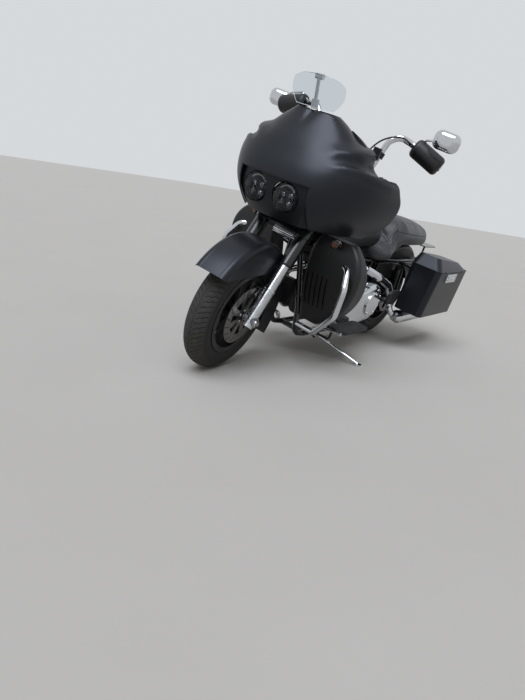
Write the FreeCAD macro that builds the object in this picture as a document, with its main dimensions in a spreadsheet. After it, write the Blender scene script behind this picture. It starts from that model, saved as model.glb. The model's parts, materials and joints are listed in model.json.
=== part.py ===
import FreeCAD, Part
import math
import os
from types import SimpleNamespace
import Sketcher
from FreeCAD import Placement, Rotation, Vector

# Touring cruiser motorcycle, leaning on its side stand with the bars turned a little to the left.
# Everything is drawn upright first, in the machine's own axes: x runs forward from the rear axle,
# y to the rider's left, z up from the ground. The finished pieces are then leaned and set down.

os.makedirs("parts", exist_ok=True)
doc = FreeCAD.newDocument("touring_cruiser")
sheet = doc.addObject("Spreadsheet::Sheet", "Sizes")

# Driving dimensions: name, value in millimetres or degrees
driving = [
    # chassis layout
    ("wheel_base", 1613), ("rake_angle", 26), ("fork_tilt", 29.25), ("trail_length", 157),
    ("lean_angle", 10), ("steer_angle", 10), ("seat_gap", 0.3), ("running_fit", 0.08),
    # wheels
    ("front_tyre_radius", 320), ("front_tyre_width", 130), ("rear_tyre_radius", 323),
    ("rear_tyre_width", 140), ("bead_radius", 203), ("tyre_wall", 11), ("rim_lip", 11),
    ("rim_depth", 15), ("flange_width", 4), ("rim_half_width", 55),
    ("rear_rim_half_width", 63), ("spoke_count", 9),
    ("spoke_root", 17), ("spoke_tip", 9), ("spoke_thickness", 34), ("hub_radius", 42),
    ("hub_half_length", 70), ("axle_radius", 12.5), ("front_rotor_radius", 150),
    ("rotor_inner_radius", 108), ("rotor_thickness", 5), ("rotor_slots", 18),
    ("rotor_slot_width", 5), ("rear_rotor_radius", 146), ("pulley_radius", 112),
    ("pulley_width", 30), ("pulley_centre", 90),
    # fork and steering head
    ("fork_spacing", 244), ("slider_radius", 29), ("slider_below_axle", 38), ("slider_length", 330),
    ("fork_tube_radius", 24.5), ("fork_tube_top", 748), ("cover_radius", 35), ("cover_bore", 31),
    ("lower_clamp_at", 498), ("upper_clamp_at", 728), ("clamp_thickness", 34), ("stem_radius", 15),
    ("neck_radius", 34), ("neck_length", 138), ("axle_lug_radius", 27), ("axle_overhang", 16),
    # front fender
    ("fender_radius", 384), ("fender_half_width", 86), ("fender_wall", 3), ("fender_forward", 14),
    ("fender_front_angle", 38), ("fender_rear_angle", -26), ("fender_skirt", 545),
    ("fender_shoulder", 34),
    # rear fender
    ("rear_fender_radius", 388), ("rear_fender_half_width", 96), ("rear_fender_front", 31),
    ("rear_fender_back", 14), ("rear_fender_depth", 150),
    # engine
    ("crank_ahead", 850), ("crank_height", 318), ("case_radius", 128), ("case_half_width", 88),
    ("vee_angle", 45), ("bore_radius", 54), ("barrel_length", 128), ("fin_pitch", 9),
    ("fin_thickness", 3), ("fin_half_width", 74), ("fin_corner", 26), ("barrel_fins", 13),
    ("head_length", 84), ("head_half_width", 66), ("rocker_length", 165),
    ("rocker_width", 118), ("rocker_height", 62), ("clutch_ahead", 562), ("clutch_height", 372),
    ("primary_front_radius", 96), ("primary_rear_radius", 122), ("primary_outer", 242),
    ("primary_round", 26), ("derby_radius", 78), ("derby_height", 12),
    ("pushrod_radius", 11), ("cam_cover_radius", 84), ("cam_cover_depth", 34),
    ("air_cleaner_radius", 98), ("air_cleaner_depth", 62), ("gearbox_radius", 74), ("gearbox_height", 330),
    # fuel tank and seat
    ("tank_front", 1168), ("tank_rear", 575), ("tank_half_width", 176), ("tank_base", 706),
    ("tank_height", 222), ("tank_tunnel", 46), ("filler_radius", 38),
    # frame
    ("frame_tube", 16), ("backbone_radius", 29), ("rail_spacing", 176), ("rail_height", 150),
    ("downtube_ahead", 1112), ("seatpost_ahead", 392), ("seat_rail_height", 600),
    ("swingarm_ahead", 430), ("swingarm_height", 318), ("swingarm_half_width", 133),
    ("swingarm_radius", 20), ("pivot_radius", 14), ("shock_radius", 27),
    # saddlebags
    ("bag_front", 190), ("bag_rear", -344), ("bag_inner", 238), ("bag_outer", 452),
    ("bag_base", 326), ("bag_seam", 643), ("bag_draft", 14), ("bag_flare", 10),
    ("bag_tail", 30), ("bag_corner", 38), ("bag_wall", 4),
    ("lid_height", 74), ("lid_gap", 0.3), ("lid_slope", 66), ("lid_side_slope", 60),
    ("lid_rear_slope", 44), ("lid_fall", 4.5),
    ("hinge_radius", 5), ("latch_length", 170), ("latch_height", 58), ("latch_depth", 12),
    # fairing
    ("fairing_wall", 5), ("lamp_spacing", 176), ("lamp_radius", 69), ("lamp_height", 913),
    ("lamp_ahead", 1584), ("lamp_depth", 70), ("lens_bulge", 14), ("nacelle_recess", 14),
    ("brow_height", 999),
    ("deflector_thickness", 4), ("guard_radius", 16), ("dash_ahead", 1280), ("dash_thickness", 26),
    ("gauge_radius", 52), ("small_gauge_radius", 27),
    # controls and stand
    ("bar_radius", 16), ("grip_radius", 18), ("grip_length", 124), ("guard_shell_radius", 49),
    ("guard_shell_length", 172), ("guard_shell_wall", 4), ("mirror_half_width", 66),
    ("mirror_half_height", 46), ("mirror_depth", 30), ("board_length", 300), ("board_width", 112),
    ("board_thickness", 16), ("stand_leg_radius", 10), ("stand_foot_ahead", 831),
    ("stand_foot_out", 420), ("stand_pivot_ahead", 908), ("stand_pivot_out", 127),
    ("stand_pivot_height", 156), ("pipe_radius", 22), ("muffler_radius", 45), ("cable_radius", 4),
]
for row, (name, value) in enumerate(driving, start=1):
    sheet.set("A%d" % row, name)
    sheet.set("B%d" % row, str(value))
    sheet.setAlias("B%d" % row, name)
doc.recompute()
sz = SimpleNamespace(**{name: float(sheet.get(name)) for name, value in driving})

X, Y, Z = Vector(1, 0, 0), Vector(0, 1, 0), Vector(0, 0, 1)
rake = math.radians(sz.rake_angle)
tilt = math.radians(sz.fork_tilt)
rear_axle = Vector(0, 0, sz.rear_tyre_radius)
front_axle = Vector(sz.wheel_base, 0, sz.front_tyre_radius)
steer_foot = Vector(sz.wheel_base + sz.trail_length, 0, 0)
steer_axis = Vector(-math.sin(rake), 0, math.cos(rake))
fork_axis = Vector(-math.sin(tilt), 0, math.cos(tilt))
fork_turn = Rotation(Vector(0, 1, 0), -sz.fork_tilt)
rake_turn = Rotation(Vector(0, 1, 0), -sz.rake_angle)
fork_y = sz.fork_spacing / 2
nodes = {}


def node(name, made, group="frame"):
    """Names a finished piece and notes which moving group carries it."""
    made.Label = name
    nodes[name] = (made, group)
    return made


def feature(name, shape):
    """Keeps a shape worked out from the sizes as an object of the document."""
    made = doc.addObject("Part::Feature", name)
    made.Shape = shape
    return made


def cylinder(name, radius, height, at, direction=Z):
    """Round bar whose radius and height are written in terms of the sheet."""
    made = doc.addObject("Part::Cylinder", name)
    made.setExpression("Radius", radius)
    made.setExpression("Height", height)
    made.Placement = Placement(at, Rotation(Z, direction))
    return made


def fused(name, parts):
    made = doc.addObject("Part::MultiFuse", name)
    made.Shapes = parts
    made.Refine = True
    return made


def difference(name, base, tool):
    made = doc.addObject("Part::Cut", name)
    made.Base = base
    made.Tool = tool
    return made


def together(name, parts):
    """Several separate solids that share one node."""
    made = doc.addObject("Part::Compound", name)
    made.Links = parts
    return made


def mirrored(name, source):
    """The same piece on the other side of the centre plane."""
    made = doc.addObject("Part::Mirroring", name)
    made.Source = source
    made.Normal = Y
    made.Base = Vector(0, 0, 0)
    return made


def pair(name, source):
    return together(name, [source, mirrored(name + "_right", source)])


def both_sides(shape):
    return [shape, shape.mirror(Vector(0, 0, 0), Y)]


def on_fork(distance, side=0.0):
    """A point on a fork leg, measured up the leg from the axle."""
    return front_axle + fork_axis * distance + Y * side


def on_steering(height):
    """The point of the steering axis at a height above the ground."""
    return steer_foot + steer_axis * (height / steer_axis.z)


def bent_wire(points, bend):
    """Straight runs joined by arcs of one bend radius, cut down where a run is short."""
    edges = []
    start = points[0]
    for before, corner, after in zip(points, points[1:], points[2:]):
        back = (before - corner).normalize()
        ahead = (after - corner).normalize()
        half = back.getAngle(ahead) / 2
        room = 0.45 * min(before.distanceToPoint(corner), after.distanceToPoint(corner))
        set_back = min(bend / math.tan(half), room)
        radius = set_back * math.tan(half)
        middle = (back + ahead).normalize()
        centre = corner + middle * (radius / math.sin(half))
        first = corner + back * set_back
        last = corner + ahead * set_back
        edges.append(Part.LineSegment(start, first).toShape())
        edges.append(Part.Arc(first, centre - middle * radius, last).toShape())
        start = last
    edges.append(Part.LineSegment(start, points[-1]).toShape())
    return Part.Wire(edges)


def bent_bar(points, bend, radius):
    """Round bar or tube bent along straight runs and arcs."""
    path = bent_wire(points, bend)
    start = points[1] - points[0]
    ring = Part.Wire(Part.makeCircle(radius, points[0], start))
    return path.makePipeShell([ring], True, True)


def rod_between(first, last, radius):
    return Part.makeCylinder(radius, first.distanceToPoint(last), first, last - first)


def rounded_rectangle(x_from, x_to, y_from, y_to, height, corner):
    """Level rectangle with round corners, as a wire of four lines and four arcs."""
    corners = [(x_to, y_from, 270), (x_to, y_to, 0), (x_from, y_to, 90), (x_from, y_from, 180)]
    edges = []
    ends = []
    for x, y, angle in corners:
        centre_x = x - corner if x == x_to else x + corner
        centre_y = y - corner if y == y_to else y + corner
        spot = [Vector(centre_x + corner * math.cos(math.radians(angle + turn)),
                       centre_y + corner * math.sin(math.radians(angle + turn)), height)
                for turn in (0, 45, 90)]
        edges.append(Part.Arc(*spot).toShape())
        ends.append((spot[0], spot[2]))
    for this, following in zip(ends, ends[1:] + ends[:1]):
        edges.append(Part.LineSegment(this[1], following[0]).toShape())
    return Part.Wire(Part.__sortEdges__(edges))


def hull_of_circles(circles, height):
    """Level plate outline drawn tight round circles given as x, y, radius, anticlockwise."""
    edges = []
    ends = []
    for (x, y, r), (nx, ny, nr) in zip(circles, circles[1:] + circles[:1]):
        run = math.hypot(nx - x, ny - y)
        lean = math.atan2(ny - y, nx - x) - math.acos((r - nr) / run)
        away = Vector(math.cos(lean), math.sin(lean), 0)
        ends.append((Vector(x, y, height) + away * r, Vector(nx, ny, height) + away * nr, lean))
    for this, following, (x, y, r) in zip(ends, ends[1:] + ends[:1], circles[1:] + circles[:1]):
        edges.append(Part.LineSegment(this[0], this[1]).toShape())
        half_way = this[2] + (following[2] - this[2]) % (2 * math.pi) / 2
        middle = Vector(x + r * math.cos(half_way), y + r * math.sin(half_way), height)
        edges.append(Part.Arc(this[1], middle, following[0]).toShape())
    return Part.Wire(edges)


def solid_between(outlines, ruled=False):
    return Part.makeLoft(outlines, True, ruled)


def origin_plane(body, role):
    return [item for item in body.Origin.OriginFeatures if item.Role == role][0]


def new_sketch(body, name, role, offset="0"):
    """Sketch on one of the body's own planes, moved off it by a length from the sheet."""
    made = body.newObject("Sketcher::SketchObject", name)
    made.AttachmentSupport = [(origin_plane(body, role), "")]
    made.MapMode = "FlatFace"
    made.setExpression(".AttachmentOffset.Base.z", offset)
    return made


def amount(text):
    """The value of an expression of the sheet, for the sketch's first guess."""
    return float(sheet.evalExpression(text))


def draw_circle(sketch, radius, x="0", y="0"):
    spot = Vector(amount(x), amount(y), 0)
    ring = sketch.addGeometry(Part.Circle(spot, Z, amount(radius)), False)
    limits = [("Radius", (ring,), radius), ("DistanceX", (-1, 1, ring, 3), x),
              ("DistanceY", (-1, 1, ring, 3), y)]
    for kind, what, text in limits:
        made = sketch.addConstraint(Sketcher.Constraint(kind, *what, amount(text)))
        sketch.setExpression("Constraints[%d]" % made, text)
    return ring


def draw_outline(sketch, corners):
    """Closed outline of straight lines whose corners are expressions of the sheet."""
    spots = [Vector(amount(x), amount(y), 0) for x, y in corners]
    first = None
    for index, spot in enumerate(spots):
        line = Part.LineSegment(spot, spots[(index + 1) % len(spots)])
        made = sketch.addGeometry(line, False)
        first = made if first is None else first
    for index, (x, y) in enumerate(corners):
        here = first + index
        before = first + (index - 1) % len(corners)
        sketch.addConstraint(Sketcher.Constraint("Coincident", before, 2, here, 1))
        for kind, text in (("DistanceX", x), ("DistanceY", y)):
            made = sketch.addConstraint(
                Sketcher.Constraint(kind, -1, 1, here, 1, amount(text)))
            sketch.setExpression("Constraints[%d]" % made, text)


def pad(body, sketch, length, both=False):
    made = body.newObject("PartDesign::Pad", sketch.Name + "_pad")
    made.Profile = sketch
    made.setExpression("Length", length)
    made.Midplane = both
    return made


def pocket(body, sketch, length, both=True):
    made = body.newObject("PartDesign::Pocket", sketch.Name + "_pocket")
    made.Profile = sketch
    made.setExpression("Length", length)
    made.Midplane = both
    return made


def revolve(body, sketch, kind="PartDesign::Revolution"):
    """Turns a sketch a full turn round its own upright axis."""
    made = body.newObject(kind, sketch.Name + "_turned")
    made.Profile = sketch
    made.ReferenceAxis = (sketch, ["V_Axis"])
    made.Angle = 360
    return made


def polar(body, source, role, count):
    made = body.newObject("PartDesign::PolarPattern", source.Name + "_ring")
    made.Originals = [source]
    axis = [item for item in body.Origin.OriginFeatures if item.Role == role][0]
    made.Axis = (axis, [""])
    made.Angle = 360
    made.setExpression("Occurrences", count)
    body.Tip = made
    return made


def new_body(name, at=Vector(0, 0, 0), turn=Rotation()):
    body = doc.addObject("PartDesign::Body", name)
    body.Placement = Placement(at, turn)
    return body


# Wheels. Each is drawn round its own axle, which is the body's y axis.

def make_tyre(name, radius, width, at):
    """Tyre carcass: a hollow ring whose section is cut open where the beads sit on the rim."""
    body = new_body(name, at)
    section = new_sketch(body, name + "_section", "XY_Plane")
    middle = "%s - %s / 2" % (radius, width)
    draw_circle(section, "%s / 2" % width, middle)
    draw_circle(section, "%s / 2 - Sizes.tyre_wall" % width, middle)
    revolve(body, section)
    opening = new_sketch(body, name + "_opening", "XY_Plane")
    draw_outline(opening, [("0", "-" + width), ("Sizes.bead_radius + Sizes.seat_gap", "-" + width),
                           ("Sizes.bead_radius + Sizes.seat_gap", width), ("0", width)])
    revolve(body, opening, "PartDesign::Groove")
    return body


def make_rim(name, edge, at):
    """Cast wheel: flanged rim, tapered spokes and a hub bored for the axle."""
    body = new_body(name, at)
    barrel = new_sketch(body, name + "_barrel", "XY_Plane")
    inner = "Sizes.bead_radius - Sizes.rim_depth"
    outer = "Sizes.bead_radius + Sizes.rim_lip"
    seat = "(%s - Sizes.flange_width)" % edge
    draw_outline(barrel, [(inner, "-" + edge), (outer, "-" + edge), (outer, "-" + seat),
                          ("Sizes.bead_radius", "-" + seat), ("Sizes.bead_radius", seat),
                          (outer, seat), (outer, edge), (inner, edge)])
    revolve(body, barrel)
    spoke = new_sketch(body, name + "_spoke", "XZ_Plane")
    root = "Sizes.hub_radius / 2"
    draw_outline(spoke, [(root, "-Sizes.spoke_root"), (inner + " + 3", "-Sizes.spoke_tip"),
                         (inner + " + 3", "Sizes.spoke_tip"), (root, "Sizes.spoke_root")])
    arm = pad(body, spoke, "Sizes.spoke_thickness", True)
    polar(body, arm, "Y_Axis", "Sizes.spoke_count")
    hub = new_sketch(body, name + "_hub", "XZ_Plane")
    draw_circle(hub, "Sizes.hub_radius")
    pad(body, hub, "2 * Sizes.hub_half_length", True)
    bore = new_sketch(body, name + "_bore", "XZ_Plane")
    draw_circle(bore, "Sizes.axle_radius + Sizes.running_fit")
    pocket(body, bore, "3 * Sizes.hub_half_length")
    return body


def make_rotor(name, radius, at):
    """Brake disc: slotted friction ring on a carrier that bolts to the hub's end."""
    body = new_body(name, at)
    ring = new_sketch(body, name + "_ring", "XZ_Plane")
    draw_circle(ring, radius)
    draw_circle(ring, "Sizes.axle_radius * 2")
    pad(body, ring, "Sizes.rotor_thickness", True)
    window = new_sketch(body, name + "_window", "XZ_Plane")
    near = "(Sizes.hub_radius + 8)"
    far = "(Sizes.rotor_inner_radius - 6)"
    draw_outline(window, [(near, "-6"), (far, "-22"), (far, "22"), (near, "6")])
    hole = pocket(body, window, "3 * Sizes.rotor_thickness")
    polar(body, hole, "Y_Axis", "8")
    slot = new_sketch(body, name + "_slot", "XZ_Plane")
    half = "Sizes.rotor_slot_width / 2"
    start = "Sizes.rotor_inner_radius + 6"
    end = radius + " - 6"
    draw_outline(slot, [(start, "-10"), (end, "10"), (end, "10 + 2 * " + half),
                        (start, "-10 + 2 * " + half)])
    cut = pocket(body, slot, "3 * Sizes.rotor_thickness")
    polar(body, cut, "Y_Axis", "Sizes.rotor_slots")
    return body


node("front_tyre", make_tyre("front_tyre", "Sizes.front_tyre_radius", "Sizes.front_tyre_width",
                             front_axle), "front_wheel")
node("rear_tyre", make_tyre("rear_tyre", "Sizes.rear_tyre_radius", "Sizes.rear_tyre_width",
                            rear_axle), "rear_wheel")
node("front_rim", make_rim("front_rim", "Sizes.rim_half_width", front_axle), "front_wheel")
node("rear_rim", make_rim("rear_rim", "Sizes.rear_rim_half_width", rear_axle), "rear_wheel")
rotor_side = sz.hub_half_length + sz.rotor_thickness / 2
front_rotor = make_rotor("front_rotor", "Sizes.front_rotor_radius", front_axle + Y * rotor_side)
node("front_rotors", pair("front_rotors", front_rotor), "front_wheel")

# Rear wheel drive side: toothed pulley on the left of the hub, brake disc on its right
pulley_start = sz.hub_half_length
pulley_face = sz.pulley_centre - sz.pulley_width / 2
pulley = Part.makeCylinder(sz.pulley_radius, sz.pulley_width, rear_axle + Y * pulley_face, Y)
pulley = pulley.fuse(Part.makeCylinder(sz.hub_radius, pulley_face - pulley_start + 1,
                                       rear_axle + Y * pulley_start, Y))
for turn in range(5):
    angle = math.radians(72 * turn)
    spot = rear_axle + Vector(math.cos(angle), 0, math.sin(angle)) * (0.62 * sz.pulley_radius)
    pulley = pulley.cut(Part.makeCylinder(0.2 * sz.pulley_radius, 3 * sz.pulley_width,
                                          spot + Y * pulley_start, Y))
pulley = pulley.cut(Part.makeCylinder(sz.axle_radius + sz.running_fit, 400,
                                      rear_axle - Y * 200, Y)).removeSplitter()
rear_rotor = make_rotor("rear_rotor", "Sizes.rear_rotor_radius", rear_axle - Y * rotor_side)
node("rear_drive_discs", together("rear_drive_discs", [feature("rear_pulley", pulley), rear_rotor]),
     "rear_wheel")

# Fork. The legs stand further back than the steering axis and lean a little more than it does.
axle_half = fork_y + sz.slider_radius + sz.axle_overhang
node("front_axle", cylinder("front_axle", "Sizes.axle_radius", str(2 * axle_half),
                            front_axle - Y * axle_half, Y), "steering")
slider = cylinder("slider_barrel", "Sizes.slider_radius", "Sizes.slider_length + Sizes.slider_below_axle",
                  on_fork(-sz.slider_below_axle, fork_y), fork_axis)
lug = cylinder("slider_lug", "Sizes.axle_lug_radius", "2 * Sizes.slider_radius + 6",
               front_axle + Y * (fork_y - sz.slider_radius - 3), Y)
slider_whole = fused("slider_whole", [slider, lug])
slider_bores = feature("slider_bores", Part.makeCylinder(
    sz.axle_radius + sz.running_fit, 4 * sz.slider_radius,
    front_axle + Y * (fork_y - 2 * sz.slider_radius), Y).fuse(Part.makeCylinder(
        sz.fork_tube_radius + sz.running_fit, 2 * sz.slider_length, on_fork(60, fork_y), fork_axis)))
node("fork_sliders", pair("fork_sliders", difference("slider", slider_whole, slider_bores)),
     "steering")

cover_shapes = []
clamp_half = sz.clamp_thickness / 2 + 3
for low, high in ((sz.slider_length - 6, sz.lower_clamp_at - clamp_half),
                  (sz.lower_clamp_at + clamp_half, sz.lower_clamp_at + 120)):
    tube = Part.makeCylinder(sz.cover_radius, high - low, on_fork(low, fork_y), fork_axis)
    bore = Part.makeCylinder(sz.cover_bore, high - low, on_fork(low, fork_y), fork_axis)
    cover_shapes.extend(both_sides(tube.cut(bore)))
node("fork_covers", feature("fork_covers", Part.makeCompound(cover_shapes)), "steering")


def clamp_plate(distance, thickness, reach):
    """Fork clamp: a plate round the two legs and the steering stem."""
    leg = on_fork(distance, 0)
    stem = on_steering(leg.z)
    outline = hull_of_circles([(0, -fork_y, reach), (stem.x - leg.x, 0, reach + 4), (0, fork_y, reach)], 0)
    plate = Part.Face(outline).extrude(Z * thickness)
    plate.Placement = Placement(leg - steer_axis * (thickness / 2), rake_turn)
    return plate


clamps = clamp_plate(sz.lower_clamp_at, sz.clamp_thickness, 40)
clamps = clamps.fuse(clamp_plate(sz.upper_clamp_at, sz.clamp_thickness, 34))
low_z = on_fork(sz.lower_clamp_at).z
high_z = on_fork(sz.upper_clamp_at).z
stem_rod = rod_between(on_steering(low_z), on_steering(high_z), sz.stem_radius)
tubes = both_sides(Part.makeCylinder(sz.fork_tube_radius, sz.fork_tube_top - 70,
                                     on_fork(70, fork_y), fork_axis))
clamps = clamps.fuse([stem_rod] + tubes).removeSplitter()
node("triple_clamps", feature("triple_clamps", clamps), "steering")

# Brake line manifold: two bright bars side by side under the lower clamp
manifold_at = on_fork(sz.lower_clamp_at - 52) - X * 62
manifold = rod_between(manifold_at - Y * 68, manifold_at + Y * 68, 9)
manifold = manifold.fuse(rod_between(manifold_at - Y * 60 + Vector(16, 0, 13),
                                     manifold_at + Y * 60 + Vector(16, 0, 13), 9))
manifold = manifold.fuse(rod_between(manifold_at, manifold_at + Vector(20, 0, 46), 8))
node("brake_line_manifold", feature("brake_line_manifold", manifold.cut(clamps)), "steering")


def fender_shell(centre, radius, half_width, wall, shoulder, front, back, depth):
    """Sheet fender: a round-shouldered channel turned about the wheel from front to back angle."""
    def ring(grow, start, sweep):
        outer = radius + grow
        half = half_width + grow
        curve = max(shoulder + grow, 1)
        deep = radius - depth - grow * 0
        points = [Vector(deep, -half, 0), Vector(outer - curve, -half, 0),
                  Vector(outer - curve, half, 0), Vector(deep, half, 0)]
        crown_left = Vector(outer - curve * 0.25, -half + curve * 0.28, 0)
        crown_right = Vector(outer - curve * 0.25, half - curve * 0.28, 0)
        top_left = Vector(outer - curve * 0.04, -half + curve, 0)
        top_right = Vector(outer - curve * 0.04, half - curve, 0)
        wire = Part.Wire([
            Part.LineSegment(points[0], points[1]).toShape(),
            Part.Arc(points[1], crown_left, top_left).toShape(),
            Part.Arc(top_left, Vector(outer, 0, 0), top_right).toShape(),
            Part.Arc(top_right, crown_right, points[2]).toShape(),
            Part.LineSegment(points[2], points[3]).toShape(),
            Part.LineSegment(points[3], points[0]).toShape()])
        face = Part.Face(wire)
        face.rotate(Vector(0, 0, 0), Y, -start)
        return face.revolve(Vector(0, 0, 0), Y, -sweep)
    sweep = 180 - back - front
    shell = ring(0, front, sweep).cut(ring(-wall, front - 3, sweep + 6))
    core = Part.makeCylinder(radius - depth + 0.5, 4 * half_width, Vector(0, -2 * half_width, 0), Y)
    shell = shell.cut(core)
    shell.translate(centre)
    return shell


fender_centre = front_axle + X * sz.fender_forward
front_fender = fender_shell(fender_centre, sz.fender_radius, sz.fender_half_width, sz.fender_wall,
                            sz.fender_shoulder, sz.fender_front_angle, sz.fender_rear_angle, 165)
ahead_of_fork = Part.makeBox(600, 400, 400, Vector(sz.wheel_base - 60, -200, sz.fender_skirt - 400))
node("front_fender", feature("front_fender", front_fender.cut(ahead_of_fork)), "steering")

# Front brake calipers, behind the legs, open where the disc runs through
caliper_at = front_axle + Vector(-88, 0, 96)
caliper = Part.makeBox(112, 34, 64, Vector(-56, -17, -32))
caliper = caliper.makeFillet(10, [edge for edge in caliper.Edges if abs(edge.tangentAt(0).y) > 0.9])
caliper.Placement = Placement(caliper_at + Y * rotor_side, Rotation(Y, -47))
gap = Part.makeCylinder(sz.front_rotor_radius + 6, sz.rotor_thickness + 10,
                        front_axle + Y * (rotor_side - sz.rotor_thickness / 2 - 5), Y)
caliper = caliper.cut(gap)
leg_at = (caliper_at.z - front_axle.z) / fork_axis.z
caliper = caliper.fuse(rod_between(caliper_at + Y * (rotor_side + 8), on_fork(leg_at, fork_y), 14))
caliper = caliper.cut([gap, Part.makeCylinder(sz.slider_radius, 200, on_fork(leg_at - 100, fork_y), fork_axis)])
node("front_calipers", feature("front_calipers", Part.makeCompound(both_sides(caliper))), "steering")

# Handlebar: bent tube, held in two risers on the upper clamp
riser_foot = on_fork(sz.upper_clamp_at) + steer_axis * (sz.clamp_thickness / 2)
bar_centre = riser_foot + steer_axis * 46
bar_points = [bar_centre, bar_centre + Vector(-8, 92, 4), Vector(1022, 180, 1122),
              Vector(994, 208, 1292), Vector(978, 250, 1332), Vector(948, 306, 1322),
              Vector(920, 492, 1262)]
left_bar = bent_bar(bar_points, 60, sz.bar_radius)
bar = left_bar.fuse(left_bar.mirror(Vector(0, 0, 0), Y)).removeSplitter()
riser = rod_between(riser_foot + Y * 42, riser_foot + steer_axis * 46 + Y * 42, 17)
riser = riser.fuse(rod_between(bar_centre + Y * 28, bar_centre + Y * 56, 25))
bar = bar.fuse(both_sides(riser)).removeSplitter()
node("handlebar", feature("handlebar", bar), "steering")

bar_end = bar_points[-1]
bar_run = (bar_points[-1] - bar_points[-2]).normalize()


def on_bar(distance):
    """A point on the left bar end, measured inwards from its tip."""
    return bar_end - bar_run * distance


def sleeve(start, length, radius, bore):
    tube = Part.makeCylinder(radius, length, on_bar(start + length), bar_run)
    return tube.cut(Part.makeCylinder(bore, length + 2, on_bar(start + length + 1), bar_run))


grip_start = sz.guard_shell_wall + 6
grip = sleeve(grip_start, sz.grip_length - sz.guard_shell_wall, sz.grip_radius, sz.bar_radius)
switch = sleeve(sz.grip_length + 8, 34, 26, sz.bar_radius)
lever_root = on_bar(sz.grip_length + 30) + Vector(30, 0, -6)
lever = bent_bar([lever_root, on_bar(sz.grip_length - 20) + Vector(36, 0, -8),
                  on_bar(30) + Vector(33, 0, -8)], 30, 5)
perch = Part.makeCylinder(9, 22, lever_root - X * 22, X)
perch = perch.cut(Part.makeCylinder(sz.bar_radius + 1, 400, on_bar(300), bar_run))
control = switch.fuse([perch, lever]).removeSplitter()
holder_run = (bar_points[3] - bar_points[2]).normalize()
holder_at = bar_points[2] + holder_run * 84
holder = Part.makeCylinder(sz.bar_radius + 7, 30, holder_at, holder_run)
holder = holder.fuse(Part.makeBox(22, 40, 58, holder_at + Vector(26, -24, -14)))
holder = holder.fuse(Part.makeBox(20, 14, 16, holder_at + Vector(14, -8, 4)))
holder = holder.cut(left_bar)
node("hand_controls", feature("hand_controls", Part.makeCompound(
    both_sides(grip) + both_sides(control))), "steering")
guard_start = on_bar(sz.guard_shell_length + 4)
guard_outer = Part.makeCylinder(sz.guard_shell_radius, sz.guard_shell_length, guard_start, bar_run)
guard_outer = guard_outer.makeFillet(22, [edge for edge in guard_outer.Edges if edge.Closed])
guard_inner = Part.makeCylinder(sz.guard_shell_radius - sz.guard_shell_wall,
                                sz.guard_shell_length - 2 * sz.guard_shell_wall,
                                guard_start + bar_run * sz.guard_shell_wall, bar_run)
guard_inner = guard_inner.makeFillet(18, [edge for edge in guard_inner.Edges if edge.Closed])
hand_guard = guard_outer.cut(guard_inner)
behind = Part.makeBox(200, 400, 300, on_bar(100) + Vector(-212, -200, -150))
hand_guard = hand_guard.cut(behind)
hand_guard = hand_guard.cut(Part.makeCylinder(sz.bar_radius + 12, 380, on_bar(400), bar_run))
hand_guard = hand_guard.cut(Part.makeCylinder(sz.bar_radius + sz.seat_gap, 60, on_bar(40), bar_run))
hand_guard = hand_guard.cut(control)

# Mirrors: a stalk from each control perch to an oval head. The right one is turned down and back.
bar_up = X.cross(bar_run).normalize()
stalk_foot = on_bar(sz.grip_length + 25) + bar_up * (26 + sz.seat_gap)
mirror_places = (
    # head centre as on the left side, stalk's last bend from it, turn
    (Vector(1009, 482, 1386), Vector(-2, -46, -12), 6),
    (Vector(868, 536, 1290), Vector(14, -70, 50), -6),
)


def mirror_stalk(at, bend, radius):
    return bent_bar([stalk_foot, stalk_foot + bar_up * 30, at + bend, at], 20, radius)


mirrors = []
for at, bend, turned in mirror_places:
    head = solid_between([rounded_rectangle(-sz.mirror_half_height * share, sz.mirror_half_height * share,
                                            -sz.mirror_half_width * share, sz.mirror_half_width * share,
                                            sz.mirror_depth * deep, sz.mirror_half_height * share * 0.8)
                          for share, deep in ((1, -0.3), (0.98, 0.1), (0.84, 0.6), (0.4, 1))])
    head.Placement = Placement(at, Rotation(Z, turned).multiply(Rotation(Y, 90)))
    mirrors.append(head.fuse(mirror_stalk(at, bend, 5.5)))
node("mirrors", feature("mirrors", Part.makeCompound([mirrors[0], both_sides(mirrors[1])[1]])), "steering")
node("device_holder", feature("device_holder", holder), "steering")

# Clutch cable: out of the left perch, over the bar and down to the steering head
cable_points = [lever_root + Vector(4, -12, 10), Vector(1040, 284, 1334), Vector(1076, 242, 1318),
                Vector(1074, 196, 1286), Vector(1056, 158, 1240), Vector(1066, 130, 1160),
                Vector(1150, 104, 1088), Vector(1252, 76, 1046), Vector(1280, 66, 986)]
cable = bent_bar(cable_points, 400, sz.cable_radius)
node("clutch_cable", feature("clutch_cable", cable), "steering")
# Each guard is notched where the mirror stalk and, on the left, the cable pass it
left_guard = hand_guard.cut([mirror_stalk(*mirror_places[0][:2], 9), bent_bar(cable_points, 400, 8)])
right_guard = hand_guard.cut(mirror_stalk(*mirror_places[1][:2], 9)).mirror(Vector(0, 0, 0), Y)
node("hand_guards", feature("hand_guards", Part.makeCompound([left_guard, right_guard])), "steering")

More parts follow.
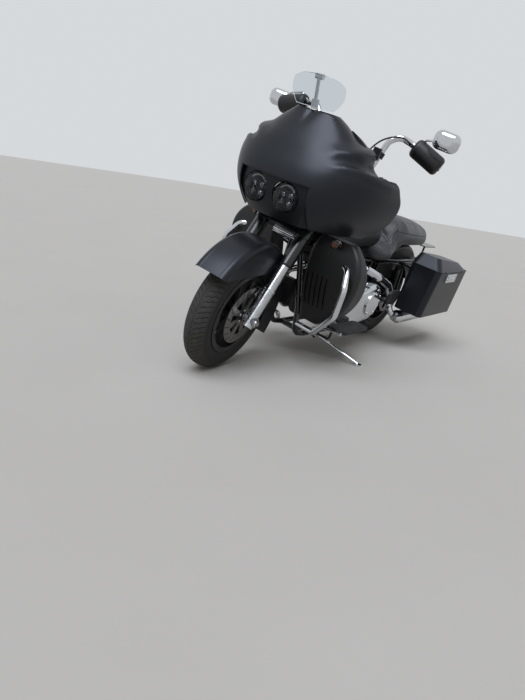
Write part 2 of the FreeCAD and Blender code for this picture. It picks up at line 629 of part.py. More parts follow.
# Frame: steering neck, backbone, twin cradle and seat rails, all bent tube
rail_y = sz.rail_spacing / 2
neck_mid = on_steering((low_z + high_z) / 2)
neck = Part.makeCylinder(sz.neck_radius, sz.neck_length,
                         neck_mid - steer_axis * (sz.neck_length / 2), steer_axis)
upright_y = 52
backbone = bent_bar([neck_mid - steer_axis * 10, Vector(1120, 0, 754), Vector(650, 0, 744),
                     Vector(560, 0, 584)], 90, sz.backbone_radius)
cradle = bent_bar([neck_mid - steer_axis * 26 + Y * 8, Vector(1250, 15, 806), Vector(1206, 44, 600),
                   Vector(sz.downtube_ahead + 30, rail_y, 330),
                   Vector(sz.downtube_ahead - 20, rail_y, 166),
                   Vector(sz.downtube_ahead - 120, rail_y, sz.rail_height),
                   Vector(sz.seatpost_ahead + 60, rail_y, sz.rail_height),
                   Vector(sz.seatpost_ahead - 40, upright_y, 230),
                   Vector(sz.seatpost_ahead - 40, upright_y, 500),
                   Vector(sz.seatpost_ahead, rail_y, sz.seat_rail_height)], 70, sz.frame_tube)
seat_rail = bent_bar([Vector(560, 20, 584), Vector(500, rail_y, sz.seat_rail_height),
                      Vector(sz.seatpost_ahead, rail_y, sz.seat_rail_height),
                      Vector(160, 124, sz.seat_rail_height), Vector(-180, 124, sz.seat_rail_height)],
                     70, sz.frame_tube)
cross = rod_between(Vector(sz.seatpost_ahead, -rail_y, sz.seat_rail_height),
                    Vector(sz.seatpost_ahead, rail_y, sz.seat_rail_height), sz.frame_tube)
low_cross = rod_between(Vector(980, -rail_y, sz.rail_height), Vector(980, rail_y, sz.rail_height),
                        sz.frame_tube)
swing_pivot = Vector(sz.swingarm_ahead, 0, sz.swingarm_height)
pivot_lugs = [Part.makeCylinder(30, 28, swing_pivot + Y * (upright_y - 14), Y).fuse(
    Part.makeBox(sz.swingarm_ahead - sz.seatpost_ahead + 40, 20, 44,
                 Vector(sz.seatpost_ahead - 40, upright_y - 10, sz.swingarm_height - 22)))]
stand_pivot = Vector(sz.stand_pivot_ahead, sz.stand_pivot_out, sz.stand_pivot_height)
# Saddlebag arms reach from the seat rail and the swingarm bracket to each bag's inner wall
bag_arms = [rod_between(Vector(at, 124, sz.seat_rail_height),
                        Vector(at, sz.bag_inner - sz.seat_gap, sz.seat_rail_height), 11)
            for at in (130, -160)]
fairing_stay = Part.makeBox(1561.5 - neck_mid.x, 44, 16, Vector(neck_mid.x, -22, sz.lamp_height - 60))
frame_shape = neck.fuse([backbone, cross, low_cross, fairing_stay] + both_sides(cradle) + both_sides(seat_rail)
                        + [side for arm in bag_arms + pivot_lugs for side in both_sides(arm)])
frame_shape = frame_shape.cut(rod_between(swing_pivot - Y * 200, swing_pivot + Y * 200,
                                          sz.pivot_radius + sz.running_fit))
stem_space = Part.makeCylinder(sz.stem_radius + sz.running_fit, 600,
                               on_steering(low_z) - steer_axis * 100, steer_axis)
frame_shape = frame_shape.cut(stem_space).removeSplitter()
node("frame", feature("frame", frame_shape))

# Engine: crankcase, gearbox and two finned cylinders at 45 degrees
crank = Vector(sz.crank_ahead, 0, sz.crank_height)
gearbox_outline = hull_of_circles([(sz.clutch_ahead, sz.gearbox_height, sz.gearbox_radius),
                                   (sz.crank_ahead - 80, sz.gearbox_height, sz.gearbox_radius)], 0)
gearbox = Part.Face(gearbox_outline).extrude(Z * (2 * sz.case_half_width))
gearbox.Placement = Placement(Y * sz.case_half_width, Rotation(X, 90))
case = Part.makeCylinder(sz.case_radius, 2 * sz.case_half_width, crank - Y * sz.case_half_width, Y)
case = case.fuse(gearbox)
feet = [Part.makeBox(26, 26, top - sz.rail_height, Vector(at, rail_y - 16, sz.rail_height))
        for at, top in ((760, 240), (590, 262))]
case = case.fuse([side for foot in feet for side in both_sides(foot)])
half_vee = sz.vee_angle / 2


def make_cylinder(name, lean, inner):
    """One finned cylinder and head, drawn upright on the crank and leaned to its side of the vee."""
    body = new_body(name, crank, Rotation(Y, lean))
    deck = "Sizes.case_radius - 12"
    barrel = new_sketch(body, name + "_barrel", "XY_Plane", deck)
    draw_circle(barrel, "Sizes.bore_radius")
    pad(body, barrel, "Sizes.barrel_length + Sizes.head_length")
    fin = new_sketch(body, name + "_fin", "XY_Plane", "Sizes.case_radius + 6")
    wide, cut = "Sizes.fin_half_width", "(Sizes.fin_half_width - Sizes.fin_corner)"
    draw_outline(fin, [(wide, "-" + cut), (wide, cut), (cut, wide), ("-" + cut, wide),
                       ("-" + wide, cut), ("-" + wide, "-" + cut), ("-" + cut, "-" + wide),
                       (cut, "-" + wide)])
    plate = pad(body, fin, "Sizes.fin_thickness")
    stack = body.newObject("PartDesign::LinearPattern", name + "_fins")
    stack.Originals = [plate]
    stack.Direction = ([item for item in body.Origin.OriginFeatures if item.Role == "Z_Axis"][0], [""])
    stack.setExpression("Length", "Sizes.fin_pitch * (Sizes.barrel_fins - 1)")
    stack.setExpression("Occurrences", "Sizes.barrel_fins")
    body.Tip = stack
    top = "Sizes.case_radius + Sizes.barrel_length"
    head = new_sketch(body, name + "_head", "XY_Plane", top)
    block = "Sizes.head_half_width"
    draw_outline(head, [(block, "-" + block), (block, block), ("-" + block, block),
                        ("-" + block, "-" + block)])
    pad(body, head, "Sizes.head_length - 12")
    # The fins are cut flat where the two cylinders meet at the root of the vee
    root = new_sketch(body, name + "_root", "XZ_Plane")
    high = "3 * Sizes.fin_half_width"
    slope = "%s3 * Sizes.fin_half_width * tan(Sizes.vee_angle / 2 * 1 deg)" % inner
    draw_outline(root, [("0", "0"), (slope, high), (inner + "3 * Sizes.fin_half_width", high),
                        (inner + "3 * Sizes.fin_half_width", "0")])
    pocket(body, root, "4 * Sizes.fin_half_width")
    return body


front_cylinder = make_cylinder("front_cylinder", half_vee, "-")
rear_cylinder = make_cylinder("rear_cylinder", -half_vee, "")
node("cylinders", together("cylinders", [front_cylinder, rear_cylinder]))
bores = []
decks = []
for lean in (half_vee, -half_vee):
    direction = Rotation(Y, lean).multVec(Z)
    bores.append(Part.makeCylinder(sz.bore_radius, 400, crank + direction * (sz.case_radius - 12), direction))
    deck = Part.makeBox(120, 136, sz.case_radius + 1, Vector(-58 if lean > 0 else -62, -68, 0))
    deck.Placement = Placement(crank, Rotation(Y, lean))
    decks.append(deck)

rocker_shapes = []
for lean in (half_vee, -half_vee):
    cover = Part.makeBox(sz.rocker_width, sz.rocker_length, sz.rocker_height,
                         Vector(-sz.rocker_width / 2, -sz.rocker_length / 2, 0))
    cover = cover.makeFillet(16, [edge for edge in cover.Edges if edge.BoundBox.ZMax > 1])
    direction = Rotation(Y, lean).multVec(Z)
    reach = sz.case_radius + sz.barrel_length + sz.head_length - 12
    cover.Placement = Placement(crank + direction * reach, Rotation(Y, lean))
    rocker_shapes.append(cover)
node("rocker_covers", feature("rocker_covers", Part.makeCompound(rocker_shapes)))

# Primary case on the left: two rounds joined by tangents, with the clutch cover on its face
primary_outline = hull_of_circles([(sz.clutch_ahead, sz.clutch_height, sz.primary_rear_radius),
                                   (sz.crank_ahead, sz.crank_height, sz.primary_front_radius)], 0)
primary_depth = sz.primary_outer - sz.case_half_width
primary = Part.Face(primary_outline).extrude(Z * primary_depth)
primary.Placement = Placement(Y * sz.primary_outer, Rotation(X, 90))
outer_rim = [edge for edge in primary.Edges if edge.BoundBox.YMin > sz.primary_outer - 0.01]
primary = primary.makeFillet(sz.primary_round, outer_rim)
derby = Part.makeCylinder(sz.derby_radius, sz.derby_height,
                          Vector(sz.clutch_ahead, sz.primary_outer, sz.clutch_height), Y)
derby = derby.makeFillet(6, [edge for edge in derby.Edges
                             if edge.Closed and edge.BoundBox.YMin > sz.primary_outer + 1])
case = case.fuse(decks).cut(bores + [frame_shape, primary]).removeSplitter()
node("crankcase", feature("crankcase", case))
node("primary_cover", feature("primary_cover", primary.fuse(derby).removeSplitter()))

# Cam cover and the four pushrod tubes on the right
cam_at = crank + Vector(0, -sz.case_half_width, 40)
cam = Part.makeCylinder(sz.cam_cover_radius, sz.cam_cover_depth, cam_at, Vector(0, -1, 0))
cam = cam.makeFillet(10, [edge for edge in cam.Edges
                          if edge.Closed and edge.BoundBox.YMax < -sz.case_half_width - 1])
rod_shapes = []
for lean, along in ((half_vee, 1), (-half_vee, -1)):
    direction = Rotation(Y, lean).multVec(Z)
    for shift in (14, 44):
        foot = cam_at + Vector(along * shift, -14, 58)
        head_spot = crank + direction * (sz.case_radius + sz.barrel_length + 60)
        rod_shapes.append(rod_between(foot, Vector(head_spot.x - along * 30 + along * shift, -86,
                                                   head_spot.z), sz.pushrod_radius))
node("cam_cover", feature("cam_cover", cam.fuse(rod_shapes).removeSplitter()))

# Air cleaner on the right, between the cylinders, on its intake elbow
air_at = crank + Vector(0, 0, 262)
air = Part.makeCylinder(sz.air_cleaner_radius, sz.air_cleaner_depth, air_at - Y * 112, Vector(0, -1, 0))
air = air.makeFillet(18, [edge for edge in air.Edges if edge.Closed and edge.BoundBox.YMax < -150])
air = air.fuse(Part.makeCylinder(26, 100, air_at - Y * 14, Vector(0, -1, 0)))
node("air_cleaner", feature("air_cleaner", air))

# Exhaust: front header and rear header on the right, crossover to the left muffler
muffler_y = 286
muffler_z = 268
port_height = sz.case_radius + sz.barrel_length + 30
lean_ahead = Rotation(Y, half_vee)
lean_astern = Rotation(Y, -half_vee)
front_port = crank + lean_ahead.multVec(Vector(sz.head_half_width, 0, port_height))
rear_port = crank + lean_astern.multVec(Vector(-sz.head_half_width, 0, port_height))
right_pipe = bent_bar([front_port, front_port + lean_ahead.multVec(X) * 46, Vector(1070, -100, 480),
                       Vector(1036, -140, 300), Vector(920, -142, 232), Vector(620, -150, 232),
                       Vector(430, -240, 250), Vector(330, -muffler_y, muffler_z)],
                      70, sz.pipe_radius)
crossover = [Vector(600, 140, 564), Vector(470, 184, 520), Vector(300, 190, 462), Vector(212, 198, 380)]
left_pipe = bent_bar([rear_port, rear_port - lean_astern.multVec(X) * 44, Vector(610, 66, 546)] + crossover
                     + [Vector(250, 250, 286), Vector(170, muffler_y, muffler_z)], 60, sz.pipe_radius)


def make_muffler(side, front):
    body = Part.makeCylinder(sz.muffler_radius, 700, Vector(front - 60, side, muffler_z), Vector(-1, 0, 0))
    cone = Part.makeCone(sz.pipe_radius + 3, sz.muffler_radius, 60, Vector(front, side, muffler_z),
                         Vector(-1, 0, 0))
    hole = Part.makeCylinder(sz.muffler_radius - 6, 80, Vector(front - 700, side, muffler_z),
                             Vector(-1, 0, 0))
    return body.fuse(cone).cut(hole)


right_exhaust = right_pipe.fuse(make_muffler(-muffler_y, 340)).removeSplitter()
left_exhaust = left_pipe.fuse(make_muffler(muffler_y, 240)).removeSplitter()
node("exhaust", feature("exhaust", Part.makeCompound([right_exhaust, left_exhaust])))

# Crossover heat shield, a bright half pipe over the left pipe where it passes the side cover
shield = bent_bar(crossover, 60, sz.pipe_radius + 6)
shield = shield.cut(bent_bar(crossover, 60, sz.pipe_radius + 3)).cut(left_pipe)
node("exhaust_shield", feature("exhaust_shield", shield))

# Fuel tank: level sections, widest low down and narrowing to the rear and the top
tank_shapes = []
for share, front, rear, wide, corner in ((0, 0, 0, 0.80, 60), (0.35, 0, -14, 1.0, 90),
                                         (0.75, -22, 26, 0.84, 80), (1, -70, 150, 0.42, 50)):
    tank_shapes.append(rounded_rectangle(sz.tank_rear + rear, sz.tank_front + front,
                                         -sz.tank_half_width * wide, sz.tank_half_width * wide,
                                         sz.tank_base + share * sz.tank_height, corner))
tank = solid_between(tank_shapes)
tunnel = Part.makeBox(900, 2 * sz.tank_tunnel, 112, Vector(1060, -sz.tank_tunnel, sz.tank_base - 10))
# behind the neck the tunnel's roof rests on the top of the backbone, which is highest at its front
tunnel_roof = 752.7 + sz.backbone_radius + sz.seat_gap
tunnel = tunnel.fuse(Part.makeBox(650, 2 * sz.tank_tunnel, tunnel_roof - sz.tank_base + 10,
                                  Vector(450, -sz.tank_tunnel, sz.tank_base - 10)))
filler = Part.makeCylinder(sz.filler_radius, 16, Vector(880, 0, sz.tank_base + sz.tank_height - 4), Z)
tank = tank.cut(tunnel).fuse(filler)
node("fuel_tank", feature("fuel_tank", tank.removeSplitter()))


# Seat: level slices are hard on a saddle, so it is lofted along the machine from upright sections
def seat_section(at, base, top, half):
    low = 0.88 * half
    points = [Vector(at, -low, base), Vector(at, -half, base + 0.45 * (top - base)),
              Vector(at, -half * 0.72, top - 8), Vector(at, 0, top),
              Vector(at, half * 0.72, top - 8), Vector(at, half, base + 0.45 * (top - base)),
              Vector(at, low, base)]
    edges = [Part.Arc(points[0], points[1], points[2]).toShape(),
             Part.Arc(points[2], points[3], points[4]).toShape(),
             Part.Arc(points[4], points[5], points[6]).toShape(),
             Part.LineSegment(points[6], points[0]).toShape()]
    return Part.Wire(edges)


seat_base = sz.seat_rail_height + sz.frame_tube + sz.seat_gap
over_fender = sz.rear_tyre_radius + sz.rear_fender_radius + 1
seat_table = (
    # along, base, top, half_width
    (556, seat_base + 40, 744, 92), (520, seat_base, 716, 140), (470, seat_base, 704, 172),
    (400, seat_base, 724, 184), (350, seat_base, 766, 170), (312, seat_base, 852, 152),
    (200, over_fender, 872, 158), (0, over_fender, 862, 156), (-170, over_fender, 844, 146),
    (-258, over_fender + 12, 806, 116),
)
seat = solid_between([seat_section(*row) for row in seat_table], True)
node("seat", feature("seat", seat))

# Side covers between the seat and the gearbox
cover_shapes = []
for side in (1, -1):
    panel = Part.makeBox(226, 9, 190, Vector(205, 130, 408))
    panel = panel.makeFillet(4, [edge for edge in panel.Edges if edge.BoundBox.YMin > 138])
    if side < 0:
        panel = panel.mirror(Vector(0, 0, 0), Y)
    cover_shapes.append(panel)
covers = [panel.fuse(rod_between(Vector(375, side * (rail_y + 8), 590), Vector(375, side * 132, 560), 8))
          for side, panel in zip((1, -1), cover_shapes)]
node("side_covers", feature("side_covers", Part.makeCompound([cover.cut(frame_shape) for cover in covers])))

# Rear fender with its lamps
rear_fender = fender_shell(rear_axle, sz.rear_fender_radius, sz.rear_fender_half_width, sz.fender_wall,
                           40, sz.rear_fender_front, sz.rear_fender_back, sz.rear_fender_depth)
fender_stays = [rod_between(Vector(at, sz.rear_fender_half_width - 2, 590),
                            Vector(at, 124 - sz.frame_tube, 598), 9) for at in (60, -150)]
rear_fender = rear_fender.fuse([side for stay in fender_stays for side in both_sides(stay)])
node("rear_fender", feature("rear_fender", rear_fender.cut(frame_shape)))
tail_x = -sz.rear_fender_radius * math.cos(math.radians(38))
tail_z = sz.rear_tyre_radius + sz.rear_fender_radius * math.sin(math.radians(38))
tail = Part.makeBox(46, 116, 62, Vector(-46, -58, -31))
tail = tail.makeFillet(12, [edge for edge in tail.Edges if edge.BoundBox.XMax < -1])
tail.Placement = Placement(Vector(tail_x - 8, 0, tail_z), Rotation(Y, 16))
signal_bar = rod_between(Vector(tail_x - 42, -120, tail_z - 62), Vector(tail_x - 42, 120, tail_z - 62), 9)
signal_bar = signal_bar.fuse(rod_between(Vector(tail_x - 42, 0, tail_z - 62),
                                         Vector(tail_x - 36, 0, tail_z), 9))
signals = [Part.makeCylinder(29, 36, Vector(tail_x - 62, side * 132, tail_z - 62), X) for side in (1, -1)]
rear_lamps = tail.fuse([signal_bar] + signals)
rear_lamps = rear_lamps.cut(Part.makeCylinder(sz.rear_fender_radius, 400, rear_axle - Y * 200, Y))
node("rear_lamps", feature("rear_lamps", rear_lamps.removeSplitter()))


# Saddlebags: thin-walled boxes that lengthen downwards and lean in, each with a hinged lid
def bag_outline(grow, height, share):
    return rounded_rectangle(sz.bag_rear - sz.bag_tail * share - grow,
                             sz.bag_front + sz.bag_flare * share + grow,
                             sz.bag_inner - grow, sz.bag_outer - sz.bag_draft * share + grow, height,
                             sz.bag_corner + grow)


outside = solid_between([bag_outline(0, sz.bag_base, 1), bag_outline(0, sz.bag_seam, 0)], True)
inside = solid_between([bag_outline(-sz.bag_wall, sz.bag_base + sz.bag_wall, 1),
                        bag_outline(-sz.bag_wall, sz.bag_seam + 1, 0)], True)
bag = outside.cut(inside)
node("saddlebag_left", feature("saddlebag_left", bag))
node("saddlebag_right", feature("saddlebag_right", bag.mirror(Vector(0, 0, 0), Y)))


def lid_outline(grow, height, share):
    front = sz.bag_front - sz.lid_slope * share
    outline = rounded_rectangle(sz.bag_rear + sz.lid_rear_slope * share - grow, front + grow,
                                sz.bag_inner + 8 * share - grow,
                                sz.bag_outer - sz.lid_side_slope * share + grow,
                                height, sz.bag_corner + grow)
    outline.rotate(Vector(front, 0, height), Y, -sz.lid_fall * share)
    return outline


lid_foot = sz.bag_seam + sz.lid_gap
lid_outside = solid_between([lid_outline(0, lid_foot, 0), lid_outline(0, lid_foot + sz.lid_height, 1)], True)
lid_inside = solid_between([lid_outline(-sz.bag_wall, lid_foot - 1, 0),
                            lid_outline(-sz.bag_wall, lid_foot + sz.lid_height - sz.bag_wall, 1)], True)
lid = lid_outside.cut(lid_inside)
hinge_y = sz.bag_outer + sz.hinge_radius - 3
hinge_z = lid_foot + sz.hinge_radius
knuckles = [Part.makeCylinder(sz.hinge_radius, 44, Vector(at, hinge_y, hinge_z), X) for at in (-250, 60)]
lid = lid.fuse([knuckle.cut(lid_inside) for knuckle in knuckles]).removeSplitter()
node("bag_lid_left", feature("bag_lid_left", lid), "bag_lid_left")
node("bag_lid_right", feature("bag_lid_right", lid.mirror(Vector(0, 0, 0), Y)), "bag_lid_right")
latch = Part.makeBox(sz.latch_length, sz.latch_depth, sz.latch_height,
                     Vector(-122, sz.bag_outer - 2, sz.bag_seam - 8 - sz.latch_height))
latch = latch.makeFillet(4, [edge for edge in latch.Edges if edge.BoundBox.YMin > sz.bag_outer + 8])
latch = latch.cut(outside)
node("bag_latches", feature("bag_latches", Part.makeCompound(both_sides(latch))))

# Flat plate behind the pillion, carried on two bars from the seat rails
plate = Part.makeBox(220, 250, 7, Vector(-486, -125, 701))
plate_middle = Vector(-373, 0, 708)
plate = plate.makeFillet(30, [edge for edge in plate.Edges
                              if abs(edge.tangentAt(0).z) > 0.9 and edge.BoundBox.XMax < -480])
stays = [bent_bar([Vector(-280, side * 112, 704), Vector(-280, side * 112, 660),
                   Vector(-170, side * 124, sz.seat_rail_height + sz.frame_tube - 1)], 20, 7)
         for side in (1, -1)]
node("luggage_plate", feature("luggage_plate", plate.fuse(stays).cut(frame_shape)))

# Swingarm with the rear axle and brake caliper
pivot = swing_pivot
arm_line = [pivot + Y * (sz.swingarm_half_width - 14),
            Vector(330, sz.swingarm_half_width, sz.swingarm_height),
            rear_axle + Y * sz.swingarm_half_width - X * 36]
swingarm = bent_bar(arm_line, 60, sz.swingarm_radius)
swingarm = swingarm.fuse(swingarm.mirror(Vector(0, 0, 0), Y))
axle_reach = sz.swingarm_half_width + sz.swingarm_radius + 12
swingarm = swingarm.fuse([rod_between(pivot - Y * 116, pivot + Y * 116, sz.pivot_radius),
                          rod_between(rear_axle - Y * axle_reach, rear_axle + Y * axle_reach, sz.axle_radius)])
rear_caliper = Part.makeBox(96, 44, 60, Vector(-48, -22, -30))
rear_caliper.Placement = Placement(rear_axle + Vector(100, -rotor_side - 6, 96), Rotation(Y, 45))
rear_caliper = rear_caliper.cut(Part.makeCylinder(
    sz.rear_rotor_radius + 6, sz.rotor_thickness + 10,
    rear_axle - Y * (rotor_side + sz.rotor_thickness / 2 + 5), Y))
bracket = rod_between(rear_axle + Vector(96, -104, 60), rear_axle + Vector(96, -122, 0), 9)
swingarm = swingarm.fuse([rear_caliper, bracket]).removeSplitter()
node("swingarm", feature("swingarm", swingarm))

# Shock absorbers from the swingarm up to the seat rails
shock_low = Vector(110, sz.swingarm_half_width + 34, sz.swingarm_height + 4)
shock_high = Vector(156, sz.swingarm_half_width + 34, sz.seat_rail_height - 34)
shock = rod_between(shock_low + (shock_high - shock_low) * 0.18, shock_high, sz.shock_radius)
shock = shock.fuse([rod_between(shock_low, shock_high, 9),
                    rod_between(shock_low - Y * 16, shock_low + Y * 9, 11),
                    rod_between(shock_high - Y * 24 + Z * 6, shock_high + Y * 9 + Z * 6, 11)])
node("shocks", feature("shocks", Part.makeCompound(both_sides(shock.cut(swingarm)))))

# Drive belt, a fixed loop a hair clear of the pulley, into the primary side of the gearbox
belt_clear = sz.pulley_radius + 0.6
front_pulley = 44
belt_outline = [hull_of_circles([(0, sz.rear_tyre_radius, belt_clear + grow),
                                 (sz.clutch_ahead, sz.gearbox_height, front_pulley + grow)], 0)
                for grow in (5, 0)]
belt = Part.Face(belt_outline[0]).extrude(Z * 26).cut(Part.Face(belt_outline[1]).extrude(Z * 26))
belt.Placement = Placement(Y * (sz.pulley_centre + 13), Rotation(X, 90))
belt = belt.cut([primary, case])
belt = max(belt.Solids, key=lambda solid: solid.Volume)
node("drive_belt", feature("drive_belt", belt))

# Frame-mounted fairing: a shell between level sections, each a nose arc and two flank arcs
fairing_table = (
    # height, nose_x, cheek_x, cheek_y, flank_x, flank_y, rear_x, rear_y
    (800, 1545, 1512, 160, 1340, 262, 1118, 300),
    (870, 1582, 1548, 186, 1350, 325, 1095, 372),
    (950, 1598, 1562, 212, 1370, 362, 1085, 415),
    (1016, 1594, 1548, 234, 1390, 368, 1095, 425),
    (1110, 1553, 1500, 254, 1380, 358, 1180, 385),
    (1170, 1520, 1466, 228, 1380, 308, 1255, 322),
    (1217, 1490, 1442, 186, 1374, 248, 1278, 258),
    (1260, 1462, 1425, 144, 1374, 182, 1312, 184),
    (1305, 1431, 1414, 100, 1390, 112, 1362, 113),
)


def fairing_section(row, inset):
    height, nose_x, cheek_x, cheek_y, flank_x, flank_y, rear_x, rear_y = row
    rear = Vector(rear_x - 3 * inset, rear_y - inset, height)
    flank = Vector(flank_x - inset * 0.7, flank_y - inset * 0.8, height)
    cheek = Vector(cheek_x - inset * 0.9, cheek_y - inset * 0.5, height)
    nose = Vector(nose_x - inset, 0, height)

    def other(point):
        return Vector(point.x, -point.y, point.z)
    return Part.Wire([Part.Arc(other(rear), other(flank), other(cheek)).toShape(),
                      Part.Arc(other(cheek), nose, cheek).toShape(),
                      Part.Arc(cheek, flank, rear).toShape(),
                      Part.LineSegment(rear, other(rear)).toShape()])


fairing_rows = list(fairing_table)
fairing_solid = solid_between([fairing_section(row, 0) for row in fairing_rows])
inner_rows = [(fairing_rows[0][0] - 1,) + fairing_rows[0][1:]] + fairing_rows[1:-1]
inner_rows.append((fairing_rows[-1][0] + 1,) + fairing_rows[-1][1:])
fairing_hollow = solid_between([fairing_section(row, sz.fairing_wall) for row in inner_rows])
# Side scoops: hollows in each flank that start as a point and widen to an open mouth at the rear
scoop_line = (
    # along, side, height, radius
    (1512, 214, 1117, 2), (1475, 260, 1137, 24), (1420, 302, 1144, 33),
    (1340, 336, 1147, 38), (1205, 344, 1149, 41),
)


def scoop(grow):
    rings = [Part.Wire(Part.makeCircle(radius + grow, Vector(along, side, height), X))
             for along, side, height, radius in scoop_line]
    return solid_between(rings)


# The nose below the brow is open for the lamp panel
brow = Part.makeBox(300, 400, 400, Vector(0, -200, -400))
brow.Placement = Placement(Vector(1470, 0, sz.brow_height - 6), Rotation(Y, 4))
fairing_inside = fairing_hollow.cut(both_sides(scoop(sz.fairing_wall)))
fairing = fairing_solid.cut(both_sides(scoop(0))).cut(fairing_inside).cut(brow)
node("fairing", feature("fairing", fairing))

# Lamp panel: it backs the skin round the opening and is recessed inside it
def nose_box(grow):
    keep = Part.makeBox(300, 400 + 2 * grow, 400, Vector(0, -200 - grow, -400))
    keep.Placement = Placement(Vector(1470 - grow, 0, sz.brow_height - 6 + grow), Rotation(Y, 4))
    return keep


def nose_core(inset):
    return solid_between([fairing_section(row, inset) for row in inner_rows])


panel = fairing_hollow.common(nose_box(12)).cut(nose_core(sz.nacelle_recess + sz.fairing_wall))
panel = panel.cut(nose_box(-sz.seat_gap).cut(nose_core(sz.nacelle_recess))).cut(frame_shape)
panel = max(panel.Solids, key=lambda solid: solid.Volume)
lamp_half = sz.lamp_spacing / 2
lamp_holes = [Part.makeCylinder(sz.lamp_radius + 0.5, 200, Vector(sz.lamp_ahead - 120, side * lamp_half,
                                                                 sz.lamp_height), X) for side in (1, -1)]
panel = panel.cut(Part.makeCompound(lamp_holes))
node("lamp_nacelle", feature("lamp_nacelle", panel))

lamp_shapes = []
for side in (1, -1):
    at = Vector(sz.lamp_ahead - sz.lamp_depth, side * lamp_half, sz.lamp_height)
    can = Part.makeCylinder(sz.lamp_radius, sz.lamp_depth - 8, at, X)
    lens_radius = sz.lamp_radius - 3
    dome_radius = (lens_radius ** 2 + sz.lens_bulge ** 2) / (2 * sz.lens_bulge)
    face = at + X * (sz.lamp_depth - 8)
    dome = Part.makeSphere(dome_radius, face + X * (sz.lens_bulge - dome_radius))
    dome = dome.common(Part.makeCylinder(lens_radius, 3 * sz.lens_bulge, face - X, X))
    lamp_shapes.append(can.fuse(dome))
node("headlamps", feature("headlamps", Part.makeCompound(lamp_shapes)))

# Dash: the black inner fairing with its round gauges
dash_keep = Part.makeBox(sz.dash_thickness, 1000, 180, Vector(sz.dash_ahead, -500, 1112))
dash = dash_keep.common(fairing_inside)
gauge_shapes = []
for side, height, radius in ((70, 1206, sz.gauge_radius), (176, 1170, sz.small_gauge_radius),
                             (28, 1140, sz.small_gauge_radius), (100, 1136, sz.small_gauge_radius)):
    for way in (1, -1):
        gauge_shapes.append(Part.makeCylinder(radius, 20, Vector(sz.dash_ahead - 9, way * side, height), X))
dash = dash.fuse(gauge_shapes).removeSplitter()
node("dash", feature("dash", dash))

# Clear wind deflector and the bright bracket that clips it to the fairing's top edge
deflector_low = Vector(1428, 0, 1312)
lean_back = math.radians(14)
blade_half = ((104, 0), (152, 56), (140, 104), (72, 136), (0, 142))
blade = Part.makePolygon([Vector(0, -side, up) for side, up in blade_half]
                         + [Vector(0, side, up) for side, up in reversed(blade_half[:-1])]
                         + [Vector(0, -blade_half[0][0], 0)])
blade = Part.Face(blade).extrude(X * sz.deflector_thickness)
blade.Placement = Placement(deflector_low, Rotation(Y, 14))
node("wind_deflector", feature("wind_deflector", blade))
clip = Part.makeBox(12, 34, 46, Vector(-12 - sz.seat_gap, -17, -12))
clip = clip.fuse(Part.makeCylinder(12, 40, Vector(-10, -20, 128), Y))
clip = clip.fuse(Part.makeBox(8, 14, 128, Vector(-9, -7, 4)))
clip.Placement = Placement(deflector_low, Rotation(Y, 14))
clip = clip.cut(Part.makeCompound([blade, fairing_solid]))
node("deflector_bracket", feature("deflector_bracket", clip))

# Engine guard: one bent tube out round each lower fairing, and the lower fairings themselves
guard_points = [Vector(1140, 84, 640), Vector(1190, 180, 676), Vector(1262, 360, 662),
                Vector(1312, 404, 566), Vector(1296, 394, 424), Vector(1190, 254, 258),
                Vector(1112, rail_y + 12, 232)]
guard_half = bent_bar(guard_points, 60, sz.guard_radius).cut(frame_shape)
node("engine_guard", feature("engine_guard", Part.makeCompound(both_sides(guard_half))))
lower_table = (
    # height, front_x, rear_x, inner_y, outer_y
    (290, 1150, 1090, 110, 226), (400, 1200, 1104, 112, 364), (580, 1256, 1128, 116, 432),
    (704, 1262, 1176, 122, 412), (776, 1246, 1184, 150, 344),
)
lower_sections = [rounded_rectangle(rear_x, front_x, inner_y, outer_y, height, 26)
                  for height, front_x, rear_x, inner_y, outer_y in lower_table]
lower = solid_between(lower_sections)
guard_space = bent_bar(guard_points, 60, sz.guard_radius + sz.seat_gap)
louvre_turn = Rotation(Y, 17)
for row in range(5):
    louvre = Part.makeBox(60, 10, 190)
    louvre.Placement = Placement(Vector(1193, 140 + 30 * row, 396), louvre_turn)
    lower = lower.cut(louvre)
lower = lower.cut(guard_space).cut(frame_shape)
lower = max(lower.Solids, key=lambda solid: solid.Volume)
node("lower_fairings", feature("lower_fairings", Part.makeCompound(both_sides(lower))))

# Oil cooler across the downtubes, behind the front wheel
cooler_boxes = [Part.makeBox(34, 100, 150, Vector(1176, -50, 330))]
for row in range(8):
    cooler_boxes.append(Part.makeBox(44, 104, 4, Vector(1171, -52, 342 + 17 * row)))
cooler = cooler_boxes[0].multiFuse(cooler_boxes[1:])
cooler = cooler.fuse([rod_between(Vector(1184, 30 * side, 440), Vector(1184, 64 * side, 440), 8)
                      for side in (1, -1)])
node("oil_cooler", feature("oil_cooler", cooler.cut(frame_shape)))

# Front turn signals under the fairing's edge
signal_shapes = []
for side in (1, -1):
    lamp = Part.makeCylinder(20, 34, Vector(1272, side * 268, 757), X)
    lamp = lamp.fuse(rod_between(Vector(1240, side * 268, 757), Vector(1280, side * 268, 757), 9))
    signal_shapes.append(lamp.cut(Part.makeCompound(both_sides(lower))))
node("front_signals", feature("front_signals", Part.makeCompound(signal_shapes)))


# Footboards, passenger boards folded up, and the pedals
def make_board(front, side, length, width):
    outline = rounded_rectangle(front - length, front, side, side + width, 0, 0.32 * width)
    return Part.Face(outline).extrude(Z * sz.board_thickness)


